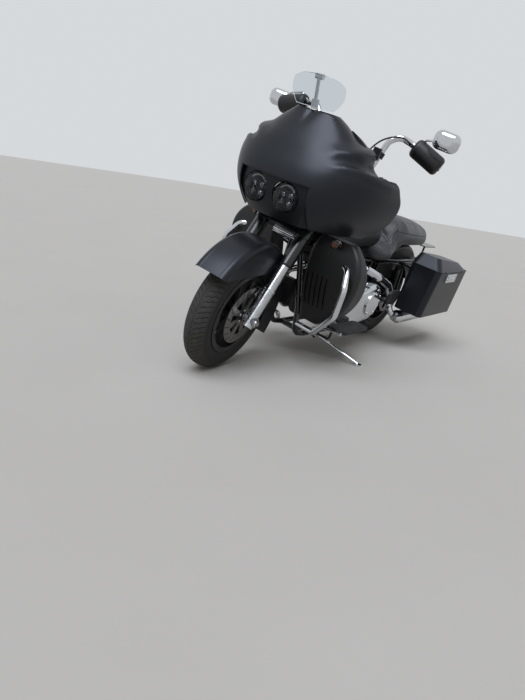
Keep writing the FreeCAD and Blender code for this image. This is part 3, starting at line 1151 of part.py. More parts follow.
board_z = 268
board = make_board(1040, 252, sz.board_length, sz.board_width)
board.translate(Z * board_z)
board = board.fuse([bent_bar([Vector(at, rail_y + 12, 158), Vector(at, 122, 190), Vector(at, 262, 196),
                              Vector(at, 268, board_z + 2)], 12, 7) for at in (1000, 800)]).cut(frame_shape)
passenger = make_board(400, 0, 150, 100)
passenger.Placement = Placement(Vector(0, 264, 358), Rotation(X, 82))
passenger = passenger.fuse(rod_between(Vector(352, upright_y + 10, 384), Vector(340, 262, 368), 9))
passenger = passenger.cut(frame_shape)
node("footboards", feature("footboards", Part.makeCompound(both_sides(board) + both_sides(passenger))))
shifter = bent_bar([Vector(1010, rail_y, sz.rail_height), Vector(1022, rail_y + 4, 204),
                    Vector(1042, 150, 214), Vector(1066, 244, 262),
                    Vector(1070, 330, 280)], 20, 7)
shifter = shifter.fuse([Part.makeCylinder(10, 34, Vector(1070, 322, 279), Y),
                        rod_between(Vector(1062, 244, 258), Vector(1040, 248, 300), 6),
                        rod_between(Vector(1040, 252, 298), Vector(690, 252, 486), 5),
                        rod_between(Vector(692, 256, 486), Vector(692, 112, 486), 7)]).cut([frame_shape, primary])
brake = bent_bar([Vector(1010, -rail_y, sz.rail_height), Vector(1022, -rail_y - 4, 204),
                  Vector(1042, -150, 214), Vector(1066, -244, 258),
                  Vector(1070, -300, 268)], 20, 8)
brake = brake.fuse(Part.makeBox(60, 46, 12, Vector(1044, -322, 262))).cut(frame_shape)
node("foot_controls", feature("foot_controls", Part.makeCompound([shifter, brake])))

# Attitude: the machine leans on its stand, with both tyres and the stand's foot on the ground
lean_turn = Rotation(X, -sz.lean_angle)
steer_turn = Placement(Vector(0, 0, 0), Rotation(steer_axis, sz.steer_angle), steer_foot)


def lowest(centre, axle, radius, width):
    crown = width / 2
    return centre.z - (radius - crown) * math.sqrt(1 - axle.z ** 2) - crown


pitch = 0.0
for attempt in range(6):
    stance = Placement(Vector(0, 0, 0), Rotation(Y, pitch).multiply(lean_turn))
    steered = stance.multiply(steer_turn)
    front_low = lowest(steered.multVec(front_axle), steered.Rotation.multVec(Y),
                       sz.front_tyre_radius, sz.front_tyre_width)
    rear_low = lowest(stance.multVec(rear_axle), stance.Rotation.multVec(Y),
                      sz.rear_tyre_radius, sz.rear_tyre_width)
    pitch += math.degrees(math.atan2(front_low - rear_low, sz.wheel_base))
stance = Placement(Vector(0, 0, -rear_low), Rotation()).multiply(stance)

# Side stand: pivot lug, leg and a foot that lies flat on the ground
contact = stance.multVec(rear_axle - Z * sz.rear_tyre_radius)
to_upright = stance.inverse()
foot_spot = to_upright.multVec(Vector(sz.stand_foot_ahead, contact.y + sz.stand_foot_out, 0))
ground_up = to_upright.Rotation.multVec(Z)
leg_out = (foot_spot + ground_up * 9 - stand_pivot).normalize()
folded = Vector(-0.985, 0.1, 0.02).normalize()
stand_axis = leg_out.cross(folded).normalize()
stand = rod_between(stand_pivot + leg_out * 4, foot_spot + ground_up * 9, sz.stand_leg_radius)
stand = stand.fuse([Part.makeCylinder(24, 9, foot_spot, ground_up),
                    Part.makeCylinder(17, 22, stand_pivot - stand_axis * 11, stand_axis)])
stand = stand.fuse(rod_between(stand_pivot + leg_out * 150,
                               stand_pivot + leg_out * 158 - folded * 34 + ground_up * 10, 5))
stand_pin = Part.makeCylinder(7, 60, stand_pivot - stand_axis * 30, stand_axis)
stand = stand.cut(Part.makeCylinder(7 + sz.running_fit, 80, stand_pivot - stand_axis * 40, stand_axis))
node("side_stand", feature("side_stand", stand.removeSplitter()), "side_stand")
inward = Placement(stand_pivot, Rotation(-leg_out, folded, stand_axis, "ZXY"))
ears = [Part.makeBox(38, 36, 8, Vector(0, -18, foot)) for foot in (11.6, -19.6)]
ears.append(Part.makeBox(12, 36, 39.2, Vector(26, -18, -19.6)))
bracket = Part.makeCompound(ears)
bracket.Placement = inward
bracket = stand_pin.fuse(bracket.Solids)
bracket = bracket.fuse(rod_between(inward.multVec(Vector(32, 0, 0)),
                                   Vector(stand_pivot.x + 10, rail_y, sz.rail_height), 9))
frame_shape = frame_shape.fuse(bracket).removeSplitter()
nodes["frame"][0].Shape = frame_shape
doc.recompute()

groups = {"frame": stance, "rear_wheel": stance, "side_stand": stance, "bag_lid_left": stance,
          "bag_lid_right": stance, "steering": stance.multiply(steer_turn),
          "front_wheel": stance.multiply(steer_turn)}
for made, group in nodes.values():
    made.Placement = groups[group].multiply(made.Placement)
doc.recompute()

# The origin goes to the middle of the box round the whole machine, on the ground
box = FreeCAD.BoundBox()
for made, group in nodes.values():
    box.add(made.Shape.optimalBoundingBox(False, False))
shift = Placement(Vector(-box.Center.x, -box.Center.y, -box.ZMin), Rotation())
for made, group in nodes.values():
    made.Placement = shift.multiply(made.Placement)
doc.recompute()
groups = {group: shift.multiply(place) for group, place in groups.items()}

for made in doc.Objects:
    faults = [state for state in made.State if state in ("Invalid", "Error")]
    if faults:
        raise RuntimeError("%s is %s" % (made.Label, faults))
for name, (made, group) in nodes.items():
    shape = made.Shape
    if shape.isNull() or not shape.isValid() or not shape.Solids:
        raise RuntimeError("bad shape in " + name)
for name, (made, group) in nodes.items():
    made.Shape.exportStep(os.path.join("parts", name + ".step"))
print("pieces %d, size %.0f x %.0f x %.0f mm" % (len(nodes), box.XLength, box.YLength, box.ZLength))
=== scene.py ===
import json
import math

import bmesh
import bpy
import numpy as np
from mathutils import Matrix, Vector


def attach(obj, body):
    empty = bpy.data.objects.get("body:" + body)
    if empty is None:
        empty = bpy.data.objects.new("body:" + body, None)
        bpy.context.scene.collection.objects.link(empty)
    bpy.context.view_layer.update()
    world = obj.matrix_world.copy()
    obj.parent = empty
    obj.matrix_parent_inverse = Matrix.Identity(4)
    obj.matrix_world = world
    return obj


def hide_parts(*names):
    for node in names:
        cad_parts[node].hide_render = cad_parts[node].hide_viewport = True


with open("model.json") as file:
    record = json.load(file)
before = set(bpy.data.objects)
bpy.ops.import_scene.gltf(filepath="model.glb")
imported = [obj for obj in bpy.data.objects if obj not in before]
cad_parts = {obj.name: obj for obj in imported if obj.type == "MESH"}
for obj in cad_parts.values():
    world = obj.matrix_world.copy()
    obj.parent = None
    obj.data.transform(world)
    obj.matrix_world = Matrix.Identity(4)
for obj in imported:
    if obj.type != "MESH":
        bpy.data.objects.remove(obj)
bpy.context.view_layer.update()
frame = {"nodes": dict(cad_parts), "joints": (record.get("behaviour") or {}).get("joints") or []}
joints = {joint["name"]: joint for joint in frame["joints"]}
print("frame loaded,", len(frame["nodes"]), "nodes")

# The machine's own upright axes: x forward from the rear axle's middle, y to its left, z up, in mm
rearAxleHeight = 323.0
parkedTurnDegrees = 10  # of the bars, to the left
forward = -np.array(joints["bag_lid_left_open"]["axis"])
leftward = np.array(joints["rear_wheel_spin"]["axis"])
stance = np.column_stack([forward, leftward, np.cross(forward, leftward)])
stanceShift = (np.array(joints["rear_wheel_spin"]["pos_m"])
               - stance @ np.array([0, 0, rearAxleHeight / 1000]))
steerPoint = np.array(joints["steering_turn"]["pos_m"])
steerSpin = np.array(Matrix.Rotation(math.radians(parkedTurnDegrees), 3,
                                     Vector(joints["steering_turn"]["axis"])))


def placed(points, body="frame"):
    # upright millimetres to row metres: lean with the machine, and turn with the bars where steered
    rows = np.asarray(points, float) / 1000 @ stance.T + stanceShift
    if body in ("steering", "front_wheel"):
        rows = (rows - steerPoint) @ steerSpin.T + steerPoint
    return rows


def upright(rows):
    # row metres back to upright millimetres, for what rides on the frame
    return (np.asarray(rows, float) - stanceShift) @ stance * 1000


def hexColour(text):
    # sRGB hex to the linear numbers that shaders use
    parts = np.array([int(text[at:at + 2], 16) / 255 for at in (1, 3, 5)])
    linear = np.where(parts <= 0.04045, parts / 12.92, ((parts + 0.055) / 1.055) ** 2.4)
    return (*[float(value) for value in linear], 1.0)


def addNode(tree, kind, settings=None, links=None):
    # settings name the node's own options or its sockets; links feed its sockets from other nodes
    made = tree.nodes.new(kind)
    for name, value in (settings or {}).items():
        if isinstance(name, int) or name in made.inputs:
            made.inputs[name].default_value = value
        else:
            setattr(made, name, value)
    for name, source in (links or {}).items():
        tree.links.new(source, made.inputs[name])
    return made


def startMaterial(name, settings):
    # a material with one Principled shader, its own numbers set, and the surface's place in metres
    material = bpy.data.materials.new(name)
    material.use_nodes = True
    tree = material.node_tree
    tree.nodes.clear()
    shader = addNode(tree, "ShaderNodeBsdfPrincipled", settings)
    addNode(tree, "ShaderNodeOutputMaterial", {}, {"Surface": shader.outputs[0]})
    place = addNode(tree, "ShaderNodeTexCoord").outputs["Object"]
    return material, tree, shader, place


def mixColour(tree, shader, factor, dark, light):
    shades = addNode(tree, "ShaderNodeMix", {"data_type": "RGBA"}, {"Factor": factor})
    shades.inputs[6].default_value = hexColour(dark)
    shades.inputs[7].default_value = hexColour(light)
    tree.links.new(shades.outputs[2], shader.inputs["Base Color"])


def mixRoughness(tree, shader, value, low, high, settings=None):
    rough = addNode(tree, "ShaderNodeMapRange", {"To Min": low, "To Max": high, **(settings or {})},
                    {"Value": value})
    tree.links.new(rough.outputs[0], shader.inputs["Roughness"])


def addBump(tree, shader, height, strength, distance):
    bump = addNode(tree, "ShaderNodeBump", {"Strength": strength, "Distance": distance}, {"Height": height})
    tree.links.new(bump.outputs[0], shader.inputs["Normal"])


def noise(tree, place, scale, detail):
    made = addNode(tree, "ShaderNodeTexNoise", {"Scale": scale, "Detail": detail}, {"Vector": place})
    return made.outputs[0]


def clampedProduct(tree, first, second, gain):
    share = addNode(tree, "ShaderNodeMath", {"operation": "MULTIPLY"}, {0: first, 1: second})
    return addNode(tree, "ShaderNodeMath", {"operation": "MULTIPLY", 1: gain, "use_clamp": True},
                   {0: share.outputs[0]}).outputs[0]


finishes = {}


def plainFinish(name, settings):
    finishes[name] = startMaterial(name, settings)[0]


def surfaceFinish(name, look, settings=None):
    # colour drifts between two shades over patches, roughness drifts with it, a fine grain stands as bump
    material, tree, shader, place = startMaterial(name, settings)
    patches = noise(tree, place, 1000 / look["patchMm"], 4.0)
    mixColour(tree, shader, patches, look["dark"], look["light"])
    mixRoughness(tree, shader, patches, *look["rough"], {"From Min": 0.3, "From Max": 0.7})
    grain = noise(tree, place, 1000 / look["grainMm"], 2.0)
    addBump(tree, shader, grain, look["grainStrength"], look["grainMm"] / 4000)
    finishes[name] = material


# Finishes. Each starts from what the real one is; grain sizes are real, or as coarse as needed to show.
# flat clearcoat over a black base: soft wide highlights, faintly blue
surfaceFinish("denimPaint", dict(
    dark="#0e1013", light="#131518", patchMm=160, rough=(0.33, 0.38), grainMm=1.4, grainStrength=0.02),
    {"Specular IOR Level": 0.4, "Specular Tint": hexColour("#eaf0fb")})
# the same flat clearcoat, made darker as painted shade: the tank, the rear fender and the lamp nacelle
surfaceFinish("paintedShadeDenim", dict(
    dark="#0a0b0d", light="#0f1113", patchMm=150, rough=(0.34, 0.4), grainMm=1.4, grainStrength=0.02),
    {"Specular IOR Level": 0.3, "Specular Tint": hexColour("#eaf0fb")})
# chrome plate over polished steel: mirror bright, a faint wipe haze in patches
surfaceFinish("chromePlate", dict(
    dark="#c3c6ca", light="#dcdee0", patchMm=60, rough=(0.05, 0.12), grainMm=2.5, grainStrength=0.02),
    {"Metallic": 1.0})
# polished cast aluminium: warmer and softer than chrome, with fine polishing marks
surfaceFinish("polishedAluminium", dict(
    dark="#a9abad", light="#c9cacb", patchMm=25, rough=(0.18, 0.28), grainMm=1.6, grainStrength=0.04),
    {"Metallic": 1.0})
# wrinkle powder coat on cast engine parts: deep black with a crinkled skin
surfaceFinish("wrinkleCoat", dict(
    dark="#141415", light="#1e1e20", patchMm=30, rough=(0.48, 0.62), grainMm=1.6, grainStrength=0.35),
    {"Metallic": 0.1})
# gloss powder coat on the frame tubes: smooth black with faint orange peel
surfaceFinish("powderCoat", dict(
    dark="#0c0d0e", light="#121314", patchMm=80, rough=(0.2, 0.32), grainMm=3.0, grainStrength=0.06),
    {"Coat Weight": 0.4, "Coat Roughness": 0.12})
# satin paint on the cast wheels: black, brake dust makes it duller in patches
surfaceFinish("wheelPaint", dict(
    dark="#131314", light="#211f1e", patchMm=45, rough=(0.32, 0.5), grainMm=1.2, grainStrength=0.08),
    {"Metallic": 0.15})
# injection moulded ABS with a fine leather-like stipple
surfaceFinish("mouldedPlastic", dict(
    dark="#0e0f10", light="#141516", patchMm=70, rough=(0.42, 0.5), grainMm=1.6, grainStrength=0.06))
# soft moulded rubber of grips, pads and belt
surfaceFinish("softRubber", dict(
    dark="#101010", light="#181817", patchMm=25, rough=(0.55, 0.7), grainMm=0.6, grainStrength=0.15))
# black chrome of the lamp bowls: dark mirror
surfaceFinish("darkChrome", dict(
    dark="#16171a", light="#212226", patchMm=20, rough=(0.15, 0.22), grainMm=2.0, grainStrength=0.02),
    {"Metallic": 1.0})
# matt black paint inside shells and recesses
surfaceFinish("insideBlack", dict(
    dark="#0c0c0d", light="#131314", patchMm=60, rough=(0.6, 0.8), grainMm=1.0, grainStrength=0.1))

# polycarbonate screen: clear, faintly smoked
plainFinish("clearScreen", {
    "Base Color": hexColour("#e6ebee"), "Transmission Weight": 1.0, "Roughness": 0.06, "IOR": 1.1})
# hard-coated lamp cover
plainFinish("lampCover", {
    "Base Color": hexColour("#eef2f4"), "Transmission Weight": 1.0, "Roughness": 0.02, "IOR": 1.25})
# silvered glass of the mirrors
plainFinish("mirrorGlass", {"Base Color": hexColour("#ccd1d4"), "Metallic": 1.0, "Roughness": 0.03})
# printed gauge dials and their pale ticks
plainFinish("dialFace", {"Base Color": hexColour("#15171a"), "Roughness": 0.45})
plainFinish("dialPrint", {"Base Color": hexColour("#c9ccc8"), "Roughness": 0.5})
# thick moulded glass of the projector lenses
plainFinish("projectorGlass", {"Base Color": hexColour("#3c4145"), "Metallic": 0.5, "Roughness": 0.12,
                               "Coat Weight": 1.0, "Coat Roughness": 0.03})
# frosted light guide over the diodes, unlit
plainFinish("lightGuide", {"Base Color": hexColour("#8d9090"), "Roughness": 0.35, "Subsurface Weight": 0.2})


def lensFinish(name, look):
    # moulded acrylic lamp lens: clear colour with flutes that run across the lamp
    material, tree, shader, place = startMaterial(name, {
        "Roughness": 0.12, "Coat Weight": 0.8, "Coat Roughness": 0.05, "Subsurface Weight": 0.15})
    flutes = addNode(tree, "ShaderNodeTexWave", {"Scale": 1000 / look["pitchMm"] / 2, "bands_direction": "Y",
                                                 "Distortion": 0.0}, {"Vector": place})
    mixColour(tree, shader, flutes.outputs[1], look["dark"], look["light"])
    addBump(tree, shader, flutes.outputs[1], 0.5, 0.001)
    finishes[name] = material


lensFinish("amberLens", dict(dark="#4a2410", light="#7a421c", pitchMm=5))
lensFinish("redLens", dict(dark="#5e0c0c", light="#9a1616", pitchMm=6))


def discFinish(name, joint):
    # stainless brake disc: ground rings round its own axle, heat-browned, scored by the pads
    material, tree, shader, place = startMaterial(name, {"Metallic": 1.0})
    centre = Vector(joints[joint]["pos_m"])
    toPoint = addNode(tree, "ShaderNodeVectorMath", {"operation": "SUBTRACT", 1: centre}, {0: place})
    turned = addNode(tree, "ShaderNodeVectorMath", {"operation": "CROSS_PRODUCT", 1: joints[joint]["axis"]},
                     {0: toPoint.outputs[0]})
    radius = addNode(tree, "ShaderNodeVectorMath", {"operation": "LENGTH"}, {0: turned.outputs[0]})
    rings = addNode(tree, "ShaderNodeTexNoise", {"noise_dimensions": "1D", "Scale": 900.0, "Detail": 3.0},
                    {"W": radius.outputs["Value"]})
    heat = clampedProduct(tree, rings.outputs[0], noise(tree, place, 14.0, 3.0), 2.2)
    mixColour(tree, shader, heat, "#5c5a58", "#8a8886")
    mixRoughness(tree, shader, rings.outputs[0], 0.24, 0.42)
    addBump(tree, shader, rings.outputs[0], 0.25, 0.0002)
    finishes[name] = material


discFinish("frontDisc", "front_wheel_spin")
discFinish("rearDisc", "rear_wheel_spin")


def tyreFinish(name):
    # carbon black rubber: dusty brown where it meets the road, black in the grooves and on the walls
    material, tree, shader, place = startMaterial(name, {"Specular IOR Level": 0.35})
    tread = addNode(tree, "ShaderNodeAttribute", {"attribute_name": "tread"})
    dust = clampedProduct(tree, tread.outputs["Fac"], noise(tree, place, 40.0, 6.0), 1.5)
    mixColour(tree, shader, dust, "#161616", "#3f3d3a")
    mixRoughness(tree, shader, dust, 0.62, 0.9)
    addBump(tree, shader, noise(tree, place, 700.0, 3.0), 0.3, 0.0004)
    finishes[name] = material


def vinylFinish(name, pebbleMm):
    # seat cover: a pebble grain, the cracks between the pebbles a little darker
    material, tree, shader, place = startMaterial(name, {"Sheen Weight": 0.15, "Sheen Roughness": 0.5})
    pebbles = addNode(tree, "ShaderNodeTexVoronoi", {"Scale": 1000 / pebbleMm, "feature": "DISTANCE_TO_EDGE"},
                      {"Vector": place})
    folds = noise(tree, place, 30.0, 4.0)
    tops = addNode(tree, "ShaderNodeMapRange", {"From Max": 0.12}, {"Value": pebbles.outputs[0]})
    height = addNode(tree, "ShaderNodeMath", {"operation": "ADD"}, {0: tops.outputs[0], 1: folds})
    mixColour(tree, shader, tops.outputs[0], "#17181a", "#25272b")
    mixRoughness(tree, shader, folds, 0.38, 0.52)
    addBump(tree, shader, height.outputs[0], 0.35, 0.0005)
    finishes[name] = material


tyreFinish("tyreRubber")
vinylFinish("seatVinyl", 1.8)

# Which nodes wear each finish
finishNodes = dict(
    denimPaint="fairing front_fender saddlebag_left saddlebag_right bag_lid_left bag_lid_right",
    # the tank, the rear fender and the lamp nacelle wear the darker copy of the paint, which is painted shade
    paintedShadeDenim="fuel_tank rear_fender lamp_nacelle",
    chromePlate="brake_line_manifold handlebar mirrors primary_cover cam_cover air_cleaner exhaust "
                "exhaust_shield bag_latches deflector_bracket engine_guard foot_controls side_stand",
    polishedAluminium="front_axle fork_sliders front_calipers",
    wrinkleCoat="cylinders crankcase rocker_covers oil_cooler",
    powderCoat="fork_covers triple_clamps frame luggage_plate swingarm shocks",
    wheelPaint="front_rim rear_rim",
    mouldedPlastic="hand_controls device_holder hand_guards side_covers dash lower_fairings",
    softRubber="clutch_cable drive_belt footboards",
    tyreRubber="front_tyre rear_tyre", seatVinyl="seat", frontDisc="front_rotors",
    rearDisc="rear_drive_discs", redLens="rear_lamps", amberLens="front_signals", lampCover="headlamps",
    clearScreen="wind_deflector")
for finishName, nodeNames in finishNodes.items():
    for nodeName in nodeNames.split():
        frame["nodes"][nodeName].material_slots[0].material = finishes[finishName]
print("finishes on the nodes")


def gridFaces(rows, columns, closeAlong=False, closeAround=False):
    # the four corners of each cell of a grid, with rows along and columns around
    first, second = np.meshgrid(np.arange(rows if closeAlong else rows - 1),
                                np.arange(columns if closeAround else columns - 1), indexing="ij")
    nextRow, nextColumn = (first + 1) % rows, (second + 1) % columns
    return np.stack([first * columns + second, nextRow * columns + second,
                     nextRow * columns + nextColumn, first * columns + nextColumn], -1)


def surfaceObject(name, points, body, finish, closeAround=False, closeAlong=False, values=None):
    # points is a grid; each cell of four neighbours becomes a face
    faces = gridFaces(*points.shape[:2], closeAlong, closeAround).reshape(-1, 4)
    return meshObject(name, points.reshape(-1, 3), faces, body, finish, values)


def meshObject(name, points, faces, body, finish, values=None):
    # upright points and four-cornered faces go into the mesh as whole arrays
    mesh = bpy.data.meshes.new(name)
    mesh.vertices.add(len(points))
    mesh.vertices.foreach_set("co", placed(points, body).astype(np.float32).ravel())
    faces = np.asarray(faces, np.int32)
    mesh.loops.add(faces.size)
    mesh.loops.foreach_set("vertex_index", faces.ravel())
    mesh.polygons.add(len(faces))
    mesh.polygons.foreach_set("loop_start", np.arange(0, faces.size, faces.shape[1], dtype=np.int32))
    mesh.polygons.foreach_set("use_smooth", np.ones(len(faces), bool))
    mesh.update(calc_edges=True)
    if values is not None:
        tread = mesh.attributes.new("tread", "FLOAT", "POINT")
        tread.data.foreach_set("value", values.astype(np.float32).ravel())
    mesh.validate()
    made = bpy.data.objects.new(name, mesh)
    bpy.context.scene.collection.objects.link(made)
    made.data.materials.append(finishes[finish])
    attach(made, body)
    return made


def turnedRings(profile, axis, steps):
    # profile rows are (radius, height); each is carried round the axis a full turn
    profile = np.asarray(profile, float)
    axis = np.asarray(axis, float) / np.linalg.norm(axis)
    side = np.cross(axis, [0, 0, 1.0] if abs(axis[2]) < 0.9 else [1.0, 0, 0])
    side /= np.linalg.norm(side)
    angle = np.linspace(0, 2 * np.pi, steps, endpoint=False)
    ring = np.outer(np.cos(angle), side) + np.outer(np.sin(angle), np.cross(axis, side))
    return profile[:, None, 1:2] * axis + profile[:, None, 0:1] * ring[None]


def revolvedSurface(name, profile, centre, axis, body, finish, steps=72):
    points = np.asarray(centre, float) + turnedRings(profile, axis, steps)
    return surfaceObject(name, points, body, finish, closeAround=True)


def copiedSurface(name, profile, centres, axis, body, finish, steps=12):
    # one small turned profile repeated at every centre, all in one mesh; its faces point inwards
    centres = np.asarray(centres, float)
    points = (centres[:, None, None, :] + turnedRings(profile, axis, steps)[None]).reshape(-1, 3)
    face = gridFaces(len(profile), steps, closeAround=True).reshape(1, -1, 4)
    faces = (face + (np.arange(len(centres)) * len(profile) * steps)[:, None, None]).reshape(-1, 4)
    return meshObject(name, points, faces[:, ::-1], body, finish)


def tubeSurface(name, path, radius, body, finish, steps=10, closed=False):
    # a round section carried along a path, its faces inwards; an open tube's ends run in almost to a point
    path = np.asarray(path, float)
    ahead = (np.roll(path, -1, 0) - np.roll(path, 1, 0)) if closed else np.gradient(path, axis=0)
    ahead /= np.linalg.norm(ahead, axis=1, keepdims=True)
    side = np.cross(ahead, [0.123, 0.071, 0.99])  # any direction that no path follows
    side /= np.linalg.norm(side, axis=1, keepdims=True)
    lift = np.cross(ahead, side)
    angle = np.linspace(0, 2 * np.pi, steps, endpoint=False)
    size = np.full(len(path), float(radius))
    if not closed:
        size[[0, -1]] = 0.02 * radius
    points = (path[:, None] + size[:, None, None] * (np.cos(angle)[:, None] * side[:, None]
                                                     + np.sin(angle)[:, None] * lift[:, None]))
    return surfaceObject(name, points, body, finish, closeAround=True, closeAlong=closed)


# Camera: the place and view direction found from the photograph, given in the machine's own axes
sensorWidth = 36
camera = dict(eye=(3688.25, 1570.23, 1207.26), right=(-0.606754, 0.743514, 0.281133),
              up=(-0.13802, -0.446848, 0.883899), focalPixels=551.2, imageWidth=525)
eye = placed([camera["eye"]])[0]
turn = np.column_stack([stance @ np.array(camera["right"]), stance @ np.array(camera["up"]),
                        stance @ np.cross(camera["right"], camera["up"])])
cameraData = bpy.data.cameras.new("camera")
cameraData.sensor_fit = "HORIZONTAL"
cameraData.sensor_width = sensorWidth
cameraData.lens = sensorWidth * camera["focalPixels"] / camera["imageWidth"]
cameraData.clip_end = 200
cameraObject = bpy.data.objects.new("camera", cameraData)
cameraObject.matrix_world = Matrix.Translation(eye) @ Matrix(turn.tolist()).to_4x4()
bpy.context.scene.collection.objects.link(cameraObject)
bpy.context.scene.camera = cameraObject

# Studio: pale floor and sky, and one broad soft light from above as on an overcast day
bpy.context.scene.view_settings.view_transform = "Standard"
studio = dict(sky="#d6d9dc", skyLight=0.46, sun=3.1, sunAngle=48, sunFrom=(0.55, 0.2, 1.0),
              sunColour="#eef2ff", floorHalf=60)
world = bpy.data.worlds.new("studio")
bpy.context.scene.world = world
world.use_nodes = True
skyTree = world.node_tree
skyTree.nodes.clear()
path = addNode(skyTree, "ShaderNodeLightPath")
seen = addNode(skyTree, "ShaderNodeMath", {"operation": "MAXIMUM"},
               {0: path.outputs["Is Camera Ray"], 1: path.outputs["Is Glossy Ray"]})
seenToo = addNode(skyTree, "ShaderNodeMath", {"operation": "MAXIMUM"},
                  {0: seen.outputs[0], 1: path.outputs["Is Transmission Ray"]})
strength = addNode(skyTree, "ShaderNodeMapRange", {"To Min": studio["skyLight"], "To Max": 1.0},
                   {"Value": seenToo.outputs[0]})
sky = addNode(skyTree, "ShaderNodeBackground", {"Color": hexColour(studio["sky"])},
              {"Strength": strength.outputs[0]})
addNode(skyTree, "ShaderNodeOutputWorld", {}, {"Surface": sky.outputs[0]})

daylight = bpy.data.lights.new("daylight", "SUN")
daylight.energy = studio["sun"]
daylight.angle = math.radians(studio["sunAngle"])
daylight.color = hexColour(studio["sunColour"])[:3]
daylightObject = bpy.data.objects.new("daylight", daylight)
daylightObject.rotation_euler = Vector(studio["sunFrom"]).to_track_quat("Z", "Y").to_euler()
bpy.context.scene.collection.objects.link(daylightObject)
surfaceFinish("paleFloor", dict(
    dark="#b0aca4", light="#b9b5ad", patchMm=900, rough=(0.75, 0.85), grainMm=4, grainStrength=0.03))
floorMesh = bpy.data.meshes.new("floor")
reach = studio["floorHalf"]
floorMesh.from_pydata([(-reach, -reach, 0), (reach, -reach, 0), (reach, reach, 0), (-reach, reach, 0)], [],
                      [(0, 1, 2, 3)])
floor = bpy.data.objects.new("floor", floorMesh)
floor.data.materials.append(finishes["paleFloor"])
bpy.context.scene.collection.objects.link(floor)
print("camera, lights and floor")

# Tyres: a ring section carried round the axle, with zigzag grooves pressed into its tread
tyreLook = dict(turns=1260, across=60, beadSteps=10, inside=8, crownDegrees=66, beadRadius=203.6, wallMm=11,
                depthMm=4.0, grooveMm=2.3, bevelMm=1.2, slant=0.5, zigzagMm=7.0, zigzagWideMm=13, waveMm=4.0,
                middleMm=8, fadeMm=3, ringMm=0.7, ringTurn=1.1, ringCut=0.75, ringAbove=0.25, ringBelow=0.3,
                dustPast=0.1)


def tyreSurface(name, node, axle, radius, width, pitches, body):
    # radius and side of a point follow a circular section; grooves lower it along the section's own radius
    look = tyreLook
    half = width / 2
    ringRadius = radius - half
    bead = math.acos((look["beadRadius"] - ringRadius) / half)
    crown = math.radians(look["crownDegrees"])
    wallTilt = np.linspace(-bead, -crown, look["beadSteps"] + 1)[:-1]
    crownTilt = np.linspace(-crown, crown, look["across"] - 2 * look["beadSteps"])
    tilt = np.concatenate([wallTilt, crownTilt, np.linspace(crown, bead, look["beadSteps"] + 1)[1:]])
    spin = np.linspace(0, 2 * np.pi, look["turns"], endpoint=False)
    run, lean = np.meshgrid(spin * radius, tilt, indexing="ij")
    pitch = 2 * np.pi * radius / pitches
    side = np.abs(lean) * half
    # slanted cuts with a zigzag edge, half a pitch apart left and right, and one wave round the middle
    zigzag = look["zigzagMm"] * np.abs(((side / look["zigzagWideMm"]) % 2) - 1)
    phase = ((run + np.where(lean > 0, pitch / 2, 0) + look["slant"] * side + zigzag) / pitch) % 1
    slant = np.abs(phase - 0.5) * pitch
    middle = np.abs(lean * half - look["waveMm"] * np.sin(2 * np.pi * run / pitch))
    shoulder = (np.clip((crown * half - side) / look["middleMm"], 0, 1)
                * np.clip((side - look["middleMm"]) / look["fadeMm"], 0, 1))
    groove = np.maximum(np.clip((look["grooveMm"] - slant) / look["bevelMm"], 0, 1) * shoulder,
                        np.clip((look["grooveMm"] - middle) / look["bevelMm"], 0, 1))
    onWall = (np.abs(lean) > crown + look["ringAbove"]) * (np.abs(lean) < bead - look["ringBelow"])
    wallRings = look["ringMm"] * (np.cos(side * look["ringTurn"]) > look["ringCut"]) * onWall
    reach = half - look["depthMm"] * groove + wallRings - look["ringMm"]
    section = np.stack([ringRadius + reach * np.cos(lean), reach * np.sin(lean)], -1)
    innerTilt = np.linspace(bead, -bead, look["inside"] + 2)[1:-1]
    innerReach = np.full((look["turns"], look["inside"]), half - look["wallMm"])
    inner = np.stack([ringRadius + innerReach * np.cos(innerTilt), innerReach * np.sin(innerTilt)], -1)
    section = np.concatenate([section, inner], 1)
    angle = spin[:, None]
    points = np.stack([section[..., 0] * np.sin(angle), section[..., 1],
                       section[..., 0] * np.cos(angle)], -1) + np.array(axle)
    # how far a point wears road dust: all of the crown, none of a groove, wall or inside
    past = look["dustPast"]
    tread = np.concatenate([np.clip((crown + past - np.abs(lean)) / (2 * past), 0, 1) * (1 - groove),
                            np.zeros((look["turns"], look["inside"]))], 1)
    made = surfaceObject(name, points, body, "tyreRubber", closeAround=True, closeAlong=True,
                         values=tread)
    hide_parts(node)


tyreSurface("frontTyreTread", "front_tyre", (1613, 0, 320), 320, 130, 72, "front_wheel")
tyreSurface("rearTyreTread", "rear_tyre", (0, 0, 323), 323, 140, 72, "rear_wheel")
print("tyres")


def smoothCurve(knots, values, at):
    # natural cubic through the values: second slopes come from one small linear system
    knots, values, at = np.asarray(knots, float), np.asarray(values, float), np.asarray(at, float)
    gap = np.diff(knots)
    count = len(knots)
    system, right = np.eye(count), np.zeros_like(values)
    inner = np.arange(1, count - 1)
    system[inner, inner - 1], system[inner, inner], system[inner, inner + 1] = (
        gap[:-1] / 6, (gap[:-1] + gap[1:]) / 3, gap[1:] / 6)
    slope = np.diff(values, axis=0) / gap.reshape(-1, *[1] * (values.ndim - 1))
    right[1:-1] = np.diff(slope, axis=0)
    bend = np.linalg.solve(system, right.reshape(count, -1)).reshape(values.shape)
    cell = np.clip(np.searchsorted(knots, at) - 1, 0, count - 2)
    wide = gap[cell].reshape(-1, *[1] * (values.ndim - 1))
    ahead = (at - knots[cell]).reshape(wide.shape) / wide
    behind = 1 - ahead
    return (behind * values[cell] + ahead * values[cell + 1]
            + ((behind ** 3 - behind) * bend[cell] + (ahead ** 3 - ahead) * bend[cell + 1]) * wide ** 2 / 6)


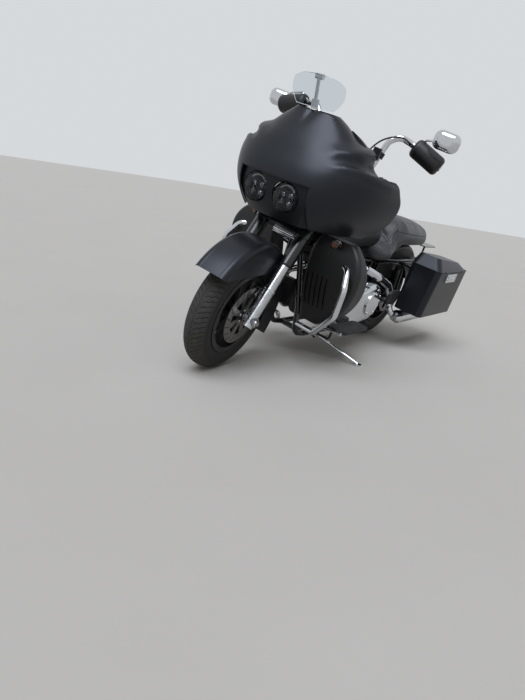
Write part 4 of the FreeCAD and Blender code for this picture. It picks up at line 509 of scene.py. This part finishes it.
def outwardNormals(points):
    # cross of the grid's two directions, each from neighbouring points
    along, across = np.gradient(points, axis=0), np.gradient(points, axis=1)
    normal = np.cross(along, across)
    return normal / np.maximum(np.linalg.norm(normal, axis=-1, keepdims=True), 1e-9)


def bell(distance, width):
    return np.exp(-(distance / width) ** 2)


# Fairing: level sections through nose, cheek, flank and rear, smooth both ways, with a side scoop that
# is pressed in along its own line between two raised lips, and a nose left open below the brow
fairing = dict(rows=60, columns=141, browRow=23, browRows=8, fadeRows=14, sideColumn=26, sideColumns=4,
               bottom=800, browStart=988, top=1305, browHeight=993, browAhead=1470, browFall=0.07,
               openHalf=200,
               scoopAhead=1520, scoopLength=300, scoopHalf=10, scoopSpread=30, scoopDepth=42, lipHeight=13,
               valleyDepth=15, notchDepth=6, notchWidth=20, notchFoot=1225, notchHeight=60, wallMm=5)
# the scoop's middle line: x ahead, and its height there
scoopLine = ((1205, 1340, 1420, 1475, 1512), (1149, 1147, 1144, 1137, 1117))
fairingSections = np.array([
    # height, noseX, cheekX, cheekY, flankX, flankY, rearX, rearY
    (800, 1545, 1512, 160, 1340, 262, 1118, 300), (870, 1582, 1548, 186, 1350, 325, 1095, 372),
    (950, 1598, 1562, 212, 1370, 362, 1085, 415), (1016, 1594, 1548, 234, 1390, 368, 1095, 425),
    (1110, 1553, 1500, 254, 1380, 358, 1180, 385), (1170, 1520, 1466, 228, 1380, 308, 1255, 322),
    (1217, 1490, 1442, 186, 1374, 248, 1278, 258), (1260, 1462, 1425, 144, 1374, 182, 1312, 184),
    (1305, 1431, 1414, 100, 1390, 112, 1362, 113)], float)


def fairingLines(sections, count=241):
    # one smooth line per section from the right rear round the nose to the left rear
    lines = []
    for height, noseX, cheekX, cheekY, flankX, flankY, rearX, rearY in sections:
        marks = np.array([(rearX, -rearY), (flankX, -flankY), (cheekX, -cheekY), (noseX, 0),
                          (cheekX, cheekY), (flankX, flankY), (rearX, rearY)])
        run = np.concatenate([[0], np.cumsum(np.linalg.norm(np.diff(marks, axis=0), axis=1))])
        lines.append(smoothCurve(run / run[-1], marks, np.linspace(0, 1, count)))
    return np.array(lines)


def fairingGrid(look):
    # heights and column shares are shifted so that one row follows the brow and one column the opening
    fine = fairingLines(fairingSections)
    shares = np.linspace(0, 1, fine.shape[1])
    middle, side = look["columns"] // 2, look["sideColumn"]
    browRow, browStart = look["browRow"], look["browStart"]
    rows = np.arange(look["rows"])
    low = rows <= browRow
    even = np.where(low, look["bottom"] + (browStart - look["bottom"]) * rows / browRow,
                    browStart + (look["top"] - browStart) * (rows - browRow)
                    / (look["rows"] - 1 - browRow))
    lines = smoothCurve(fairingSections[:, 0], fine, even)
    leftHalf = slice(fine.shape[1] // 2, None)
    edge = np.array([np.interp(look["openHalf"], line[leftHalf, 1], shares[leftHalf]) for line in lines])
    plain = 0.5 + 0.5 * side / middle
    fade = np.clip((rows - browRow) / look["fadeRows"], 0, 1)
    edge = np.where(low, edge, edge[browRow] * (1 - fade) + plain * fade)
    column = np.arange(-middle, middle + 1)
    size = np.abs(column)
    half = np.where(size <= side, (edge[:, None] - 0.5) * size / side,
                    edge[:, None] - 0.5 + (1 - edge[:, None]) * (size - side) / (middle - side))
    wanted = 0.5 + np.sign(column) * half
    cell = np.clip((wanted * (len(shares) - 1)).astype(int), 0, len(shares) - 2)
    part = (wanted * (len(shares) - 1) - cell)[..., None]
    row = rows[:, None]
    place = lines[row, cell] * (1 - part) + lines[row, cell + 1] * part
    ahead = place[browRow, :, 0]
    brow = look["browHeight"] - look["browFall"] * np.clip(ahead - look["browAhead"], 0, None)
    near = np.clip(1 - np.abs(rows - browRow) / look["browRows"], 0, 1)
    shift = (brow - browStart) * near[:, None]
    level = even[:, None] + shift * (size <= side + look["sideColumns"])
    return np.dstack([place, level]), size


def scoopPress(points, look):
    # height off the scoop's line, in its own half height, shapes hollow, lips and the valley above
    along, height = points[..., 0], points[..., 2]
    progress = np.clip((look["scoopAhead"] - along) / look["scoopLength"], 0, 1)
    halfHeight = look["scoopHalf"] + look["scoopSpread"] * progress ** 0.7
    off = (height - np.interp(along, *scoopLine)) / halfHeight
    hollow = np.clip(1 - np.abs(off) ** 3, 0, 1) ** 0.8
    lips = bell(off - 1.45, 0.5) + 0.9 * bell(off + 1.5, 0.6)
    return progress ** 0.8 * (look["lipHeight"] * lips - look["scoopDepth"] * hollow
                              - look["valleyDepth"] * bell(off - 3.0, 0.8))


fairingPoints, columnSize = fairingGrid(fairing)
fairingOut = outwardNormals(fairingPoints)
if fairingOut[fairing["rows"] // 2, fairing["columns"] // 2, 0] < 0:
    fairingOut = -fairingOut
fairingPoints = fairingPoints + fairingOut * scoopPress(fairingPoints, fairing)[..., None]
notch = (fairing["notchDepth"] * bell(fairingPoints[..., 1], fairing["notchWidth"])
         * np.clip((fairingPoints[..., 2] - fairing["notchFoot"]) / fairing["notchHeight"], 0, 1))
fairingPoints = fairingPoints + fairingOut * -notch[..., None]
cellSize = np.maximum(columnSize[:-1], columnSize[1:])
keepCell = ~((np.arange(fairing["rows"] - 1)[:, None] < fairing["browRow"])
             & (cellSize[None] <= fairing["sideColumn"]))
fairingShell = meshObject("fairingShell", fairingPoints.reshape(-1, 3),
                          gridFaces(fairing["rows"], fairing["columns"])[keepCell][:, ::-1], "frame",
                          "denimPaint")
wall = fairingShell.modifiers.new("wall", "SOLIDIFY")
wall.thickness = fairing["wallMm"] / 1000
wall.offset = -1
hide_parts("fairing")
print("fairing shell")

# Clear wind deflector: a blade that wraps back at its sides, with its top edge rolled forward
deflector = dict(rows=40, columns=61, wallMm=3.4, tall=140, wrapMm=20, wrapHalf=150, rollMm=12, rollFrom=104,
                 tiltDegrees=14, ahead=1430, foot=1312, shares=(0, 0.3, 0.6, 0.82, 0.94),
                 halves=(106, 140, 147, 126, 88))


def deflectorPoints(look):
    # half widths follow a smooth curve to the last share, and above it the tip is rounded off
    share = np.linspace(0, 1, look["rows"])
    tip, tipHalf = look["shares"][-1], look["halves"][-1]
    half = smoothCurve(look["shares"], look["halves"], share)
    half = np.where(share > tip, tipHalf * np.sqrt(np.clip((1 - share) / (1 - tip), 0.02, 1)), half)
    side = half[:, None] * np.linspace(-1, 1, look["columns"])
    up = look["tall"] * share[:, None] * np.ones_like(side)
    roll = np.clip((up - look["rollFrom"]) / (look["tall"] - look["rollFrom"]), 0, 1)
    out = look["rollMm"] * roll ** 2 - look["wrapMm"] * (side / look["wrapHalf"]) ** 2
    tilt = math.radians(look["tiltDegrees"])
    return np.stack([look["ahead"] + out * math.cos(tilt) + up * math.sin(tilt), side,
                     look["foot"] + up * math.cos(tilt) - out * math.sin(tilt)], -1)


blade = surfaceObject("deflectorBlade", deflectorPoints(deflector), "frame", "clearScreen")
thick = blade.modifiers.new("wall", "SOLIDIFY")
thick.thickness = deflector["wallMm"] / 1000
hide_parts("wind_deflector")
print("deflector")

# Head lamps: a dark bowl with four projectors and a frosted bar, behind a clear domed cover
bothSides = ((1, "Left"), (-1, "Right"))
lampLook = dict(spacing=176, ahead=1584, height=913, barRadius=52, barFrom=38, barSteps=26, barBehind=24,
                spotBehind=30, spots=((-23, 12), (23, 12), (-23, -27), (23, -27)))


def domeProfile(radius, rise, rows=10):
    # a spherical cap from its rim to its middle
    share = np.linspace(1, 0.002, rows)
    ball = (radius ** 2 + rise ** 2) / (2 * rise)
    return np.stack([radius * share, np.sqrt(ball ** 2 - (radius * share) ** 2) - (ball - rise)], -1)


for sideways, word in bothSides:
    lampY, front, height = sideways * lampLook["spacing"] / 2, lampLook["ahead"], lampLook["height"]
    axisX = (1, 0, 0)
    bowl = [(2, -34), (50, -34), (58, -26), (64, -12), (66, -7), (68.8, -7), (68.8, -70), (2, -70)]
    revolvedSurface("headlampBowl" + word, bowl[::-1], (front, lampY, height), axisX, "frame", "darkChrome")
    cover = np.concatenate([domeProfile(66, 13) + [0, -8], [(0.5, 2.6), (33, -0.6), (65.5, -10.4)]])
    coverPiece = revolvedSurface("headlampCover" + word, cover[::-1], (front, lampY, height), axisX, "frame",
                                 "lampCover")
    if sideways > 0:
        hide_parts("headlamps")
    for spotY, spotZ in lampLook["spots"]:
        middle = (front - lampLook["spotBehind"], lampY + spotY, height + spotZ)
        spot = "%s_%d_%d" % (word, spotY, spotZ)
        collar = [(21, -3), (21.5, 6), (19.5, 8.5), (17.2, 8), (16.8, -1)]
        revolvedSurface("projectorCollar" + spot, collar[::-1], middle, axisX, "frame", "insideBlack",
                        steps=40)
        revolvedSurface("projectorLens" + spot, domeProfile(17, 11)[::-1], middle, axisX, "frame",
                        "projectorGlass", steps=40)
    arc = np.radians(np.linspace(lampLook["barFrom"], 180 - lampLook["barFrom"], lampLook["barSteps"]))
    section = np.array([(-4, -3.5), (4, -3.5), (4, 3.5), (-4, 3.5)])
    barAhead = front - lampLook["barBehind"] + section[:, 0]
    bar = np.stack([np.broadcast_to(barAhead, (lampLook["barSteps"], 4)),
                    lampY + np.outer(np.cos(arc), lampLook["barRadius"] + section[:, 1]),
                    height + np.outer(np.sin(arc), lampLook["barRadius"] + section[:, 1])], -1)
    surfaceObject("lightBar" + word, bar, "frame", "lightGuide", closeAround=True)
print("head lamps")

# Seat: the solid's copy is closed up, made smaller, filled with air as cloth, then creased and seamed
seatPad = dict(weldMm=0.2, voxelMm=7, smoothing=30, pressure=3, quality=5, frames=16, capMm=13, shrinkMm=3,
               restsBelow=((280, 380), (738, 676)),
               # across the seat: place ahead, slant, half width, foot, and the height it fades over
               crease=(352, 0.16, 9, 690, 40), frontSeam=(500, -0.35, 3.5, 670, 20),
               # along the seat: places ahead, and the height or distance aside at each
               edgeSeam=((-258, 312, 352, 470, 556), (776, 800, 726, 676, 700)), edgeHalf=3.0, edgeFrom=60,
               panelSeam=((-250, 300, 360, 520), (92, 104, 112, 84)), panelHalf=3.2,
               creaseDepth=9, seamDepth=4.5, panelDepth=3.0)


def meshRows(made, field="co"):
    # one row of three numbers for each point of the mesh
    rows = np.empty(len(made.data.vertices) * 3)
    made.data.vertices.foreach_get(field, rows)
    return rows.reshape(-1, 3)


def setPoints(made, rows):
    made.data.vertices.foreach_set("co", rows.astype(np.float32).ravel())


def applyLast(made, kind, settings):
    # the modifier's result becomes the object's own mesh
    modifier = made.modifiers.new("last", kind)
    for key, value in settings.items():
        setattr(modifier, key, value)
    shaped = bpy.data.meshes.new_from_object(made.evaluated_get(bpy.context.evaluated_depsgraph_get()))
    made.modifiers.remove(modifier)
    made.data = shaped


def simulatedPad(name, node, look):
    source = frame["nodes"][node]
    pad = bpy.data.objects.new(name, source.data.copy())
    bpy.context.scene.collection.objects.link(pad)
    shape = bmesh.new()
    shape.from_mesh(pad.data)
    bmesh.ops.remove_doubles(shape, verts=shape.verts, dist=look["weldMm"] / 1000)
    shape.normal_update()
    shape.to_mesh(pad.data)
    shape.free()
    pad.data.materials.clear()
    setPoints(pad, meshRows(pad) - meshRows(pad, "normal") * look["shrinkMm"] / 1000)
    applyLast(pad, "REMESH", dict(mode="VOXEL", voxel_size=look["voxelMm"] / 1000))
    before = meshRows(pad)
    level = upright(before)[:, 2]
    resting = level < np.interp(upright(before)[:, 0], *look["restsBelow"])
    held = pad.vertex_groups.new(name="held")
    held.add([int(at) for at in np.nonzero(resting)[0]], 1.0, "REPLACE")
    soft = pad.modifiers.new("soft", "CLOTH")
    soft.settings.vertex_group_mass = "held"
    soft.settings.use_pressure = True
    soft.settings.uniform_pressure_force = look["pressure"]
    soft.settings.effector_weights.gravity = 0
    soft.settings.quality = look["quality"]
    soft.point_cache.frame_end = look["frames"]
    for at in range(1, look["frames"] + 1):
        bpy.context.scene.frame_set(at)
    move = meshRows(pad.evaluated_get(bpy.context.evaluated_depsgraph_get())) - before
    far = np.linalg.norm(move, axis=1, keepdims=True)
    move *= np.minimum(1, look["capMm"] / 1000 / np.maximum(far, 1e-9))
    pad.modifiers.remove(soft)
    pad.vertex_groups.clear()
    bpy.context.scene.frame_set(1)
    setPoints(pad, before + move)
    applyLast(pad, "SMOOTH", dict(factor=0.5, iterations=look["smoothing"]))
    applyLast(pad, "SUBSURF", dict(levels=1, render_levels=1))
    return pad


seatObject = simulatedPad("seatPad", "seat", seatPad)
seatSpots = meshRows(seatObject)
seatOut = meshRows(seatObject, "normal")
along, aside, level = upright(seatSpots).T
aside = np.abs(aside)


def acrossSeat(ahead, slant, half, foot, fade):
    return bell(along - ahead - slant * aside, half) * np.clip((level - foot) / fade, 0, 1)


edgeSeam = (bell(level - np.interp(along, *seatPad["edgeSeam"]), seatPad["edgeHalf"])
            * (aside > seatPad["edgeFrom"]))
panelSeam = (bell(aside - np.interp(along, *seatPad["panelSeam"]), seatPad["panelHalf"])
             * (seatOut @ stance[:, 2] > 0.5))
press = (seatPad["creaseDepth"] * acrossSeat(*seatPad["crease"])
         + seatPad["seamDepth"] * (acrossSeat(*seatPad["frontSeam"]) + edgeSeam)
         + seatPad["panelDepth"] * panelSeam)
setPoints(seatObject, seatSpots - seatOut * press[:, None] / 1000)
seatObject.data.polygons.foreach_set("use_smooth", np.ones(len(seatObject.data.polygons), bool))
seatObject.data.materials.append(finishes["seatVinyl"])
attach(seatObject, "frame")
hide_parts("seat")
print("seat pad,", len(seatObject.data.vertices), "points")

# Wheel and fork hardware: disc bolts, slider seals, axle nuts and the hose clamps on the sliders
hardware = dict(hub=(1613, 0, 320.0), forkTilt=29.25, forkOut=122, sliderRadius=29, sealReach=322,
                clampReach=176, axleEnd=150, discOut=75.5, discBolts=30)
domeBolt = [(0.2, 5), (3.5, 4.6), (6.2, 3.2), (7, 1.5), (7, -1), (0.2, -1)]
sixNut = [(0.3, 9), (15, 9), (17, 7), (17, -2), (0.3, -2)]
forkTilt = math.radians(hardware["forkTilt"])
forkLean = np.array([-math.sin(forkTilt), 0, math.cos(forkTilt)])
frontHub = np.array(hardware["hub"])


def boltCircle(centre, radius, side, count=5, turnDegrees=0):
    # evenly spread spots on a circle whose axis is the y direction
    spread = (np.linspace(0, 2 * np.pi, count, endpoint=False) + math.radians(turnDegrees))[:, None]
    return centre + radius * np.hstack([np.sin(spread), 0 * spread, np.cos(spread)]) + [0, side, 0]


def bandProfile(radius, half, rise):
    # a band with softened edges round a tube, its inner side left open inside the tube
    return [(radius - 3, half), (radius + rise - 1, half), (radius + rise, half - 1.5),
            (radius + rise, 1.5 - half), (radius + rise - 1, -half), (radius - 3, -half)]


for sign, word in bothSides:
    legFoot = frontHub + [0, sign * hardware["forkOut"], 0]
    discBolts = boltCircle(frontHub, hardware["discBolts"], sign * hardware["discOut"])
    copiedSurface("frontDiscBolts" + word, domeBolt, discBolts, (0, sign, 0), "front_wheel",
                  "polishedAluminium")
    for kind, reach, half, rise, finish, slotName in (
            ("sliderSeal", hardware["sealReach"], 7, 3.0, "softRubber", "rubber_black"),
            ("hoseClamp", hardware["clampReach"], 5, 2.2, "chromePlate", "chrome")):
        copiedSurface(kind + word, bandProfile(hardware["sliderRadius"], half, rise),
                      [legFoot + forkLean * reach], forkLean, "steering", finish, steps=48)
    copiedSurface("frontAxleNut" + word, sixNut, [frontHub + [0, sign * hardware["axleEnd"], 0]],
                  (0, sign, 0), "steering", "chromePlate", steps=6)
print("wheel and fork hardware")

# Engine trim: cap bolts round the clutch cover, the primary case, the rocker boxes and the cam cover
engineTrim = dict(clutch=(562, 0, 372.0), crank=(850, 0, 318.0), cam=(850, 0, 358.0), clutchFace=254,
                  caseFace=242, camFace=-122, coverBolts=67, clutchEnd=94, crankEnd=68, camBolts=70,
                  leanDegrees=22.5, rockerTop=390, rockerHalf=(40, 62))
capBolt = [(0.2, 3.4), (2.6, 3.4), (2.9, 5.0), (5.2, 5.0), (6.2, 3.6), (6.2, -1), (0.2, -1)]
clutch, crank, cam = (np.array(engineTrim[key]) for key in ("clutch", "crank", "cam"))
# the case's bolts leave out the stretch where its two round ends meet
caseBolts = np.concatenate([
    boltCircle(clutch, engineTrim["clutchEnd"], engineTrim["caseFace"], 9, 20)[4:],
    boltCircle(crank, engineTrim["crankEnd"], engineTrim["caseFace"], 8)[:5]])
coverBolts = boltCircle(clutch, engineTrim["coverBolts"], engineTrim["clutchFace"])
camBolts = boltCircle(cam, engineTrim["camBolts"], engineTrim["camFace"], 6)
for name, spots, facing in (("clutchCoverBolts", coverBolts, 1), ("primaryBolts", caseBolts, 1),
                            ("camCoverBolts", camBolts, -1)):
    copiedSurface(name, capBolt, spots, (0, facing, 0), "frame", "chromePlate")
halfX, halfY = engineTrim["rockerHalf"]
flat = np.array([(x, y, engineTrim["rockerTop"]) for x in (-halfX, halfX) for y in (-halfY, 0, halfY)], float)
for sign, word in ((1, "Front"), (-1, "Rear")):
    lean = math.radians(sign * engineTrim["leanDegrees"])
    leant = np.stack([flat[:, 0] * math.cos(lean) + flat[:, 2] * math.sin(lean), flat[:, 1],
                      flat[:, 2] * math.cos(lean) - flat[:, 0] * math.sin(lean)], -1)
    copiedSurface("rockerBolts" + word, capBolt, leant + crank, (math.sin(lean), 0, math.cos(lean)), "frame",
                  "chromePlate")
print("engine trim")

# Saddlebags: a rolled lip round each lid's foot, a rubber seal under it, and a latch lever with its lock
bagTrim = dict(front=190, rear=-344, inner=238, outer=452, corner=38, lipHeight=647.2, lipRadius=3.2,
               lipGrow=0.4, sealHeight=641.4, sealRadius=1.6, sealGrow=-1.0, leverRadius=6,
               lock=(34, 462, 600.0))
leverPath = np.array([(-104, 461, 612), (-96, 465, 612), (-60, 466, 612), (-10, 466, 612), (16, 465, 612),
                      (24, 461, 612)], float)
lockProfile = [(0.3, 3.5), (7, 3.5), (9, 2), (9, -2), (0.3, -2)]


def roundedPath(grow, height, steps=12):
    # a level rounded rectangle: four quarter turns, each about its corner's centre
    trim = bagTrim
    quarter = np.linspace(0, np.pi / 2, steps)
    corners = ((trim["front"], trim["outer"], 0), (trim["rear"], trim["outer"], 1),
               (trim["rear"], trim["inner"], 2), (trim["front"], trim["inner"], 3))
    path = []
    for x, y, turnCount in corners:
        inX = x - trim["corner"] if x == trim["front"] else x + trim["corner"]
        inY = y - trim["corner"] if y == trim["outer"] else y + trim["corner"]
        angle = quarter + turnCount * np.pi / 2
        path.append(np.stack([inX + (trim["corner"] + grow) * np.cos(angle),
                              inY + (trim["corner"] + grow) * np.sin(angle), np.full(steps, height)], -1))
    return np.concatenate(path)


for sign, word in bothSides:
    flip = np.array([1, sign, 1])
    lip = roundedPath(bagTrim["lipGrow"], bagTrim["lipHeight"]) * flip
    seal = roundedPath(bagTrim["sealGrow"], bagTrim["sealHeight"]) * flip
    tubeSurface("lidLip" + word, lip, bagTrim["lipRadius"], "bag_lid_" + word.lower(), "denimPaint",
                closed=True)
    tubeSurface("bagSeal" + word, seal, bagTrim["sealRadius"], "frame", "softRubber",
                closed=True)
    tubeSurface("latchLever" + word, leverPath * flip, bagTrim["leverRadius"], "frame", "chromePlate")
    copiedSurface("latchLock" + word, lockProfile, [np.array(bagTrim["lock"]) * flip], (0, sign, 0), "frame",
                  "polishedAluminium", steps=24)
print("saddlebag trim")

# Bars: rubber rings on the grips, and silvered glass in each mirror's rear face
grips = dict(tip=(920, 492, 1262.0), inner=(948, 306, 1322.0), radius=18, start=18, end=124, spacing=8,
             ringHalf=2.4, ringRise=1.6)
barTip = np.array(grips["tip"])
barRun = barTip - np.array(grips["inner"])
barRun /= np.linalg.norm(barRun)
ringReach = np.arange(grips["start"], grips["end"], grips["spacing"])
for sign, word in bothSides:
    flip = np.array([1, sign, 1])
    band = bandProfile(grips["radius"], grips["ringHalf"], grips["ringRise"])
    copiedSurface("gripRings" + word, band, (barTip - ringReach[:, None] * barRun) * flip, barRun * flip,
                  "steering", "softRubber", steps=32)
mirrorLook = dict(halfWidth=61, halfHeight=41, power=3.4, behind=9.6, domeMm=1.2, turnDegrees=6, glassMm=1.2,
                  around=64, rings=8, centreShare=0.004,
                  middles=(("Left", (1009, 482, 1386)), ("Right", (868, -536, 1290))))
turnAngle = np.linspace(0, 2 * np.pi, mirrorLook["around"], endpoint=False)
reach = np.linspace(mirrorLook["centreShare"], 1, mirrorLook["rings"])[:, None]
power, swing = mirrorLook["power"], math.radians(mirrorLook["turnDegrees"])
# superellipse rings from the middle out to the rim, very slightly domed
rim = (np.abs(np.cos(turnAngle)) ** power + np.abs(np.sin(turnAngle)) ** power) ** (-1 / power)
aside = reach * mirrorLook["halfWidth"] * np.cos(turnAngle) * rim
lift = reach * mirrorLook["halfHeight"] * np.sin(turnAngle) * rim
back = np.broadcast_to(-mirrorLook["behind"] - mirrorLook["domeMm"] * (1 - reach ** 2), aside.shape)
glass = np.stack([back * math.cos(swing) - aside * math.sin(swing),
                  back * math.sin(swing) + aside * math.cos(swing), lift], -1)
for word, middle in mirrorLook["middles"]:
    pane = surfaceObject("mirrorGlass" + word, glass + middle, "steering", "mirrorGlass",
                         closeAround=True)
    paneWall = pane.modifiers.new("wall", "SOLIDIFY")
    paneWall.thickness = mirrorLook["glassMm"] / 1000
print("bars and mirrors")

# Gauges on the dash: a bright ring, a dark dial, pale ticks and one needle each
gauges = dict(faceX=1271, sweepDegrees=130, tickHalf=0.8, tickFront=1.5, tickBack=0.9, longTick=0.18,
              shortTick=0.1, needle=(0.6, 0.8), needleFoot=-4.0,
              # distance from the middle, height, radius, number of ticks
              faces=((70, 1206, 52, 25), (176, 1170, 27, 11), (28, 1140, 27, 11), (100, 1136, 27, 11)))
tickBox = np.array([(0, 1, 2, 3), (7, 6, 5, 4), (0, 4, 5, 1), (1, 5, 6, 2), (2, 6, 7, 3), (3, 7, 4, 0)])


def gaugePrint(middle, radius, tickCount, look):
    # ticks from the rim inwards, every second one longer, and a needle, each a flat box facing inwards
    sweep = look["sweepDegrees"]
    angle = np.radians(np.linspace(-sweep, sweep, tickCount))[:, None]
    over, up = look["needle"]
    out = np.concatenate([np.hstack([0 * angle, np.sin(angle), np.cos(angle)]), [[0, over, up]]])
    wide = np.concatenate([np.hstack([0 * angle, np.cos(angle), -np.sin(angle)]), [[0, up, -over]]])
    length = np.where(np.arange(tickCount) % 2 == 0, look["longTick"], look["shortTick"])[:, None] * radius
    rim = np.full((tickCount + 1, 1), radius - 8.0)
    inner = np.concatenate([rim[:-1] - length, [[look["needleFoot"]]]])
    half = look["tickHalf"]
    corners = np.stack([middle + out * at + wide * aside + [-back, 0, 0]
                        for back in (look["tickBack"], look["tickFront"])
                        for at, aside in ((inner, -half), (rim, -half), (rim, half), (inner, half))], 1)
    boxes = tickBox[None] + 8 * np.arange(tickCount + 1)[:, None, None]
    return corners.reshape(-1, 3), boxes.reshape(-1, 4)


for sign, word in bothSides:
    for aside, level, radius, tickCount in gauges["faces"]:
        middle = np.array([gauges["faceX"], sign * aside, level], float)
        tag = "%s%d" % (word, aside)
        ring = [(radius - 6, 0.2), (radius - 5, 3), (radius - 1, 4), (radius + 1.5, 2), (radius + 1.5, -2),
                (radius - 6, -2)]
        dial = [(0.2, 0.9), (radius - 5.5, 0.9), (radius - 5.5, 0.1), (0.2, 0.1)]
        copiedSurface("gaugeRing" + tag, ring, [middle], (-1, 0, 0), "frame", "chromePlate",
                      steps=48)
        copiedSurface("gaugeDial" + tag, dial, [middle], (-1, 0, 0), "frame", "dialFace",
                      steps=48)
        corners, boxes = gaugePrint(middle, radius, tickCount, gauges)
        meshObject("gaugePrint" + tag, corners, boxes, "frame", "dialPrint")
print("gauges")

# Footboards: rubber ribs. They are spread about the board's inner edge, so three of six miss the board,
# whose middle is at 308. Front signals: a ring that seats each lens
boards = dict(top=284, ribs=6, innerEdge=252, spacing=15, ribRadius=2.6, rear=785, front=1000, points=24)
signalRing = dict(middle=(1304, 268, 757.0),
                  profile=[(17, 5), (20.5, 5), (22, 3), (22, -22), (19, -24), (17, -24)])
for sign, word in bothSides:
    flip = np.array([1, sign, 1])
    for rib in range(boards["ribs"]):
        aside = boards["innerEdge"] + (rib - (boards["ribs"] - 1) / 2) * boards["spacing"]
        line = np.array([(x, aside, boards["top"])
                         for x in np.linspace(boards["rear"], boards["front"], boards["points"])])
        tubeSurface("boardRib%s%d" % (word, rib), line * flip, boards["ribRadius"], "frame", "softRubber",
                    steps=8)
    copiedSurface("signalRing" + word, signalRing["profile"], [np.array(signalRing["middle"]) * flip],
                  (1, 0, 0), "frame", "powderCoat", steps=32)
print("footboards and signals")
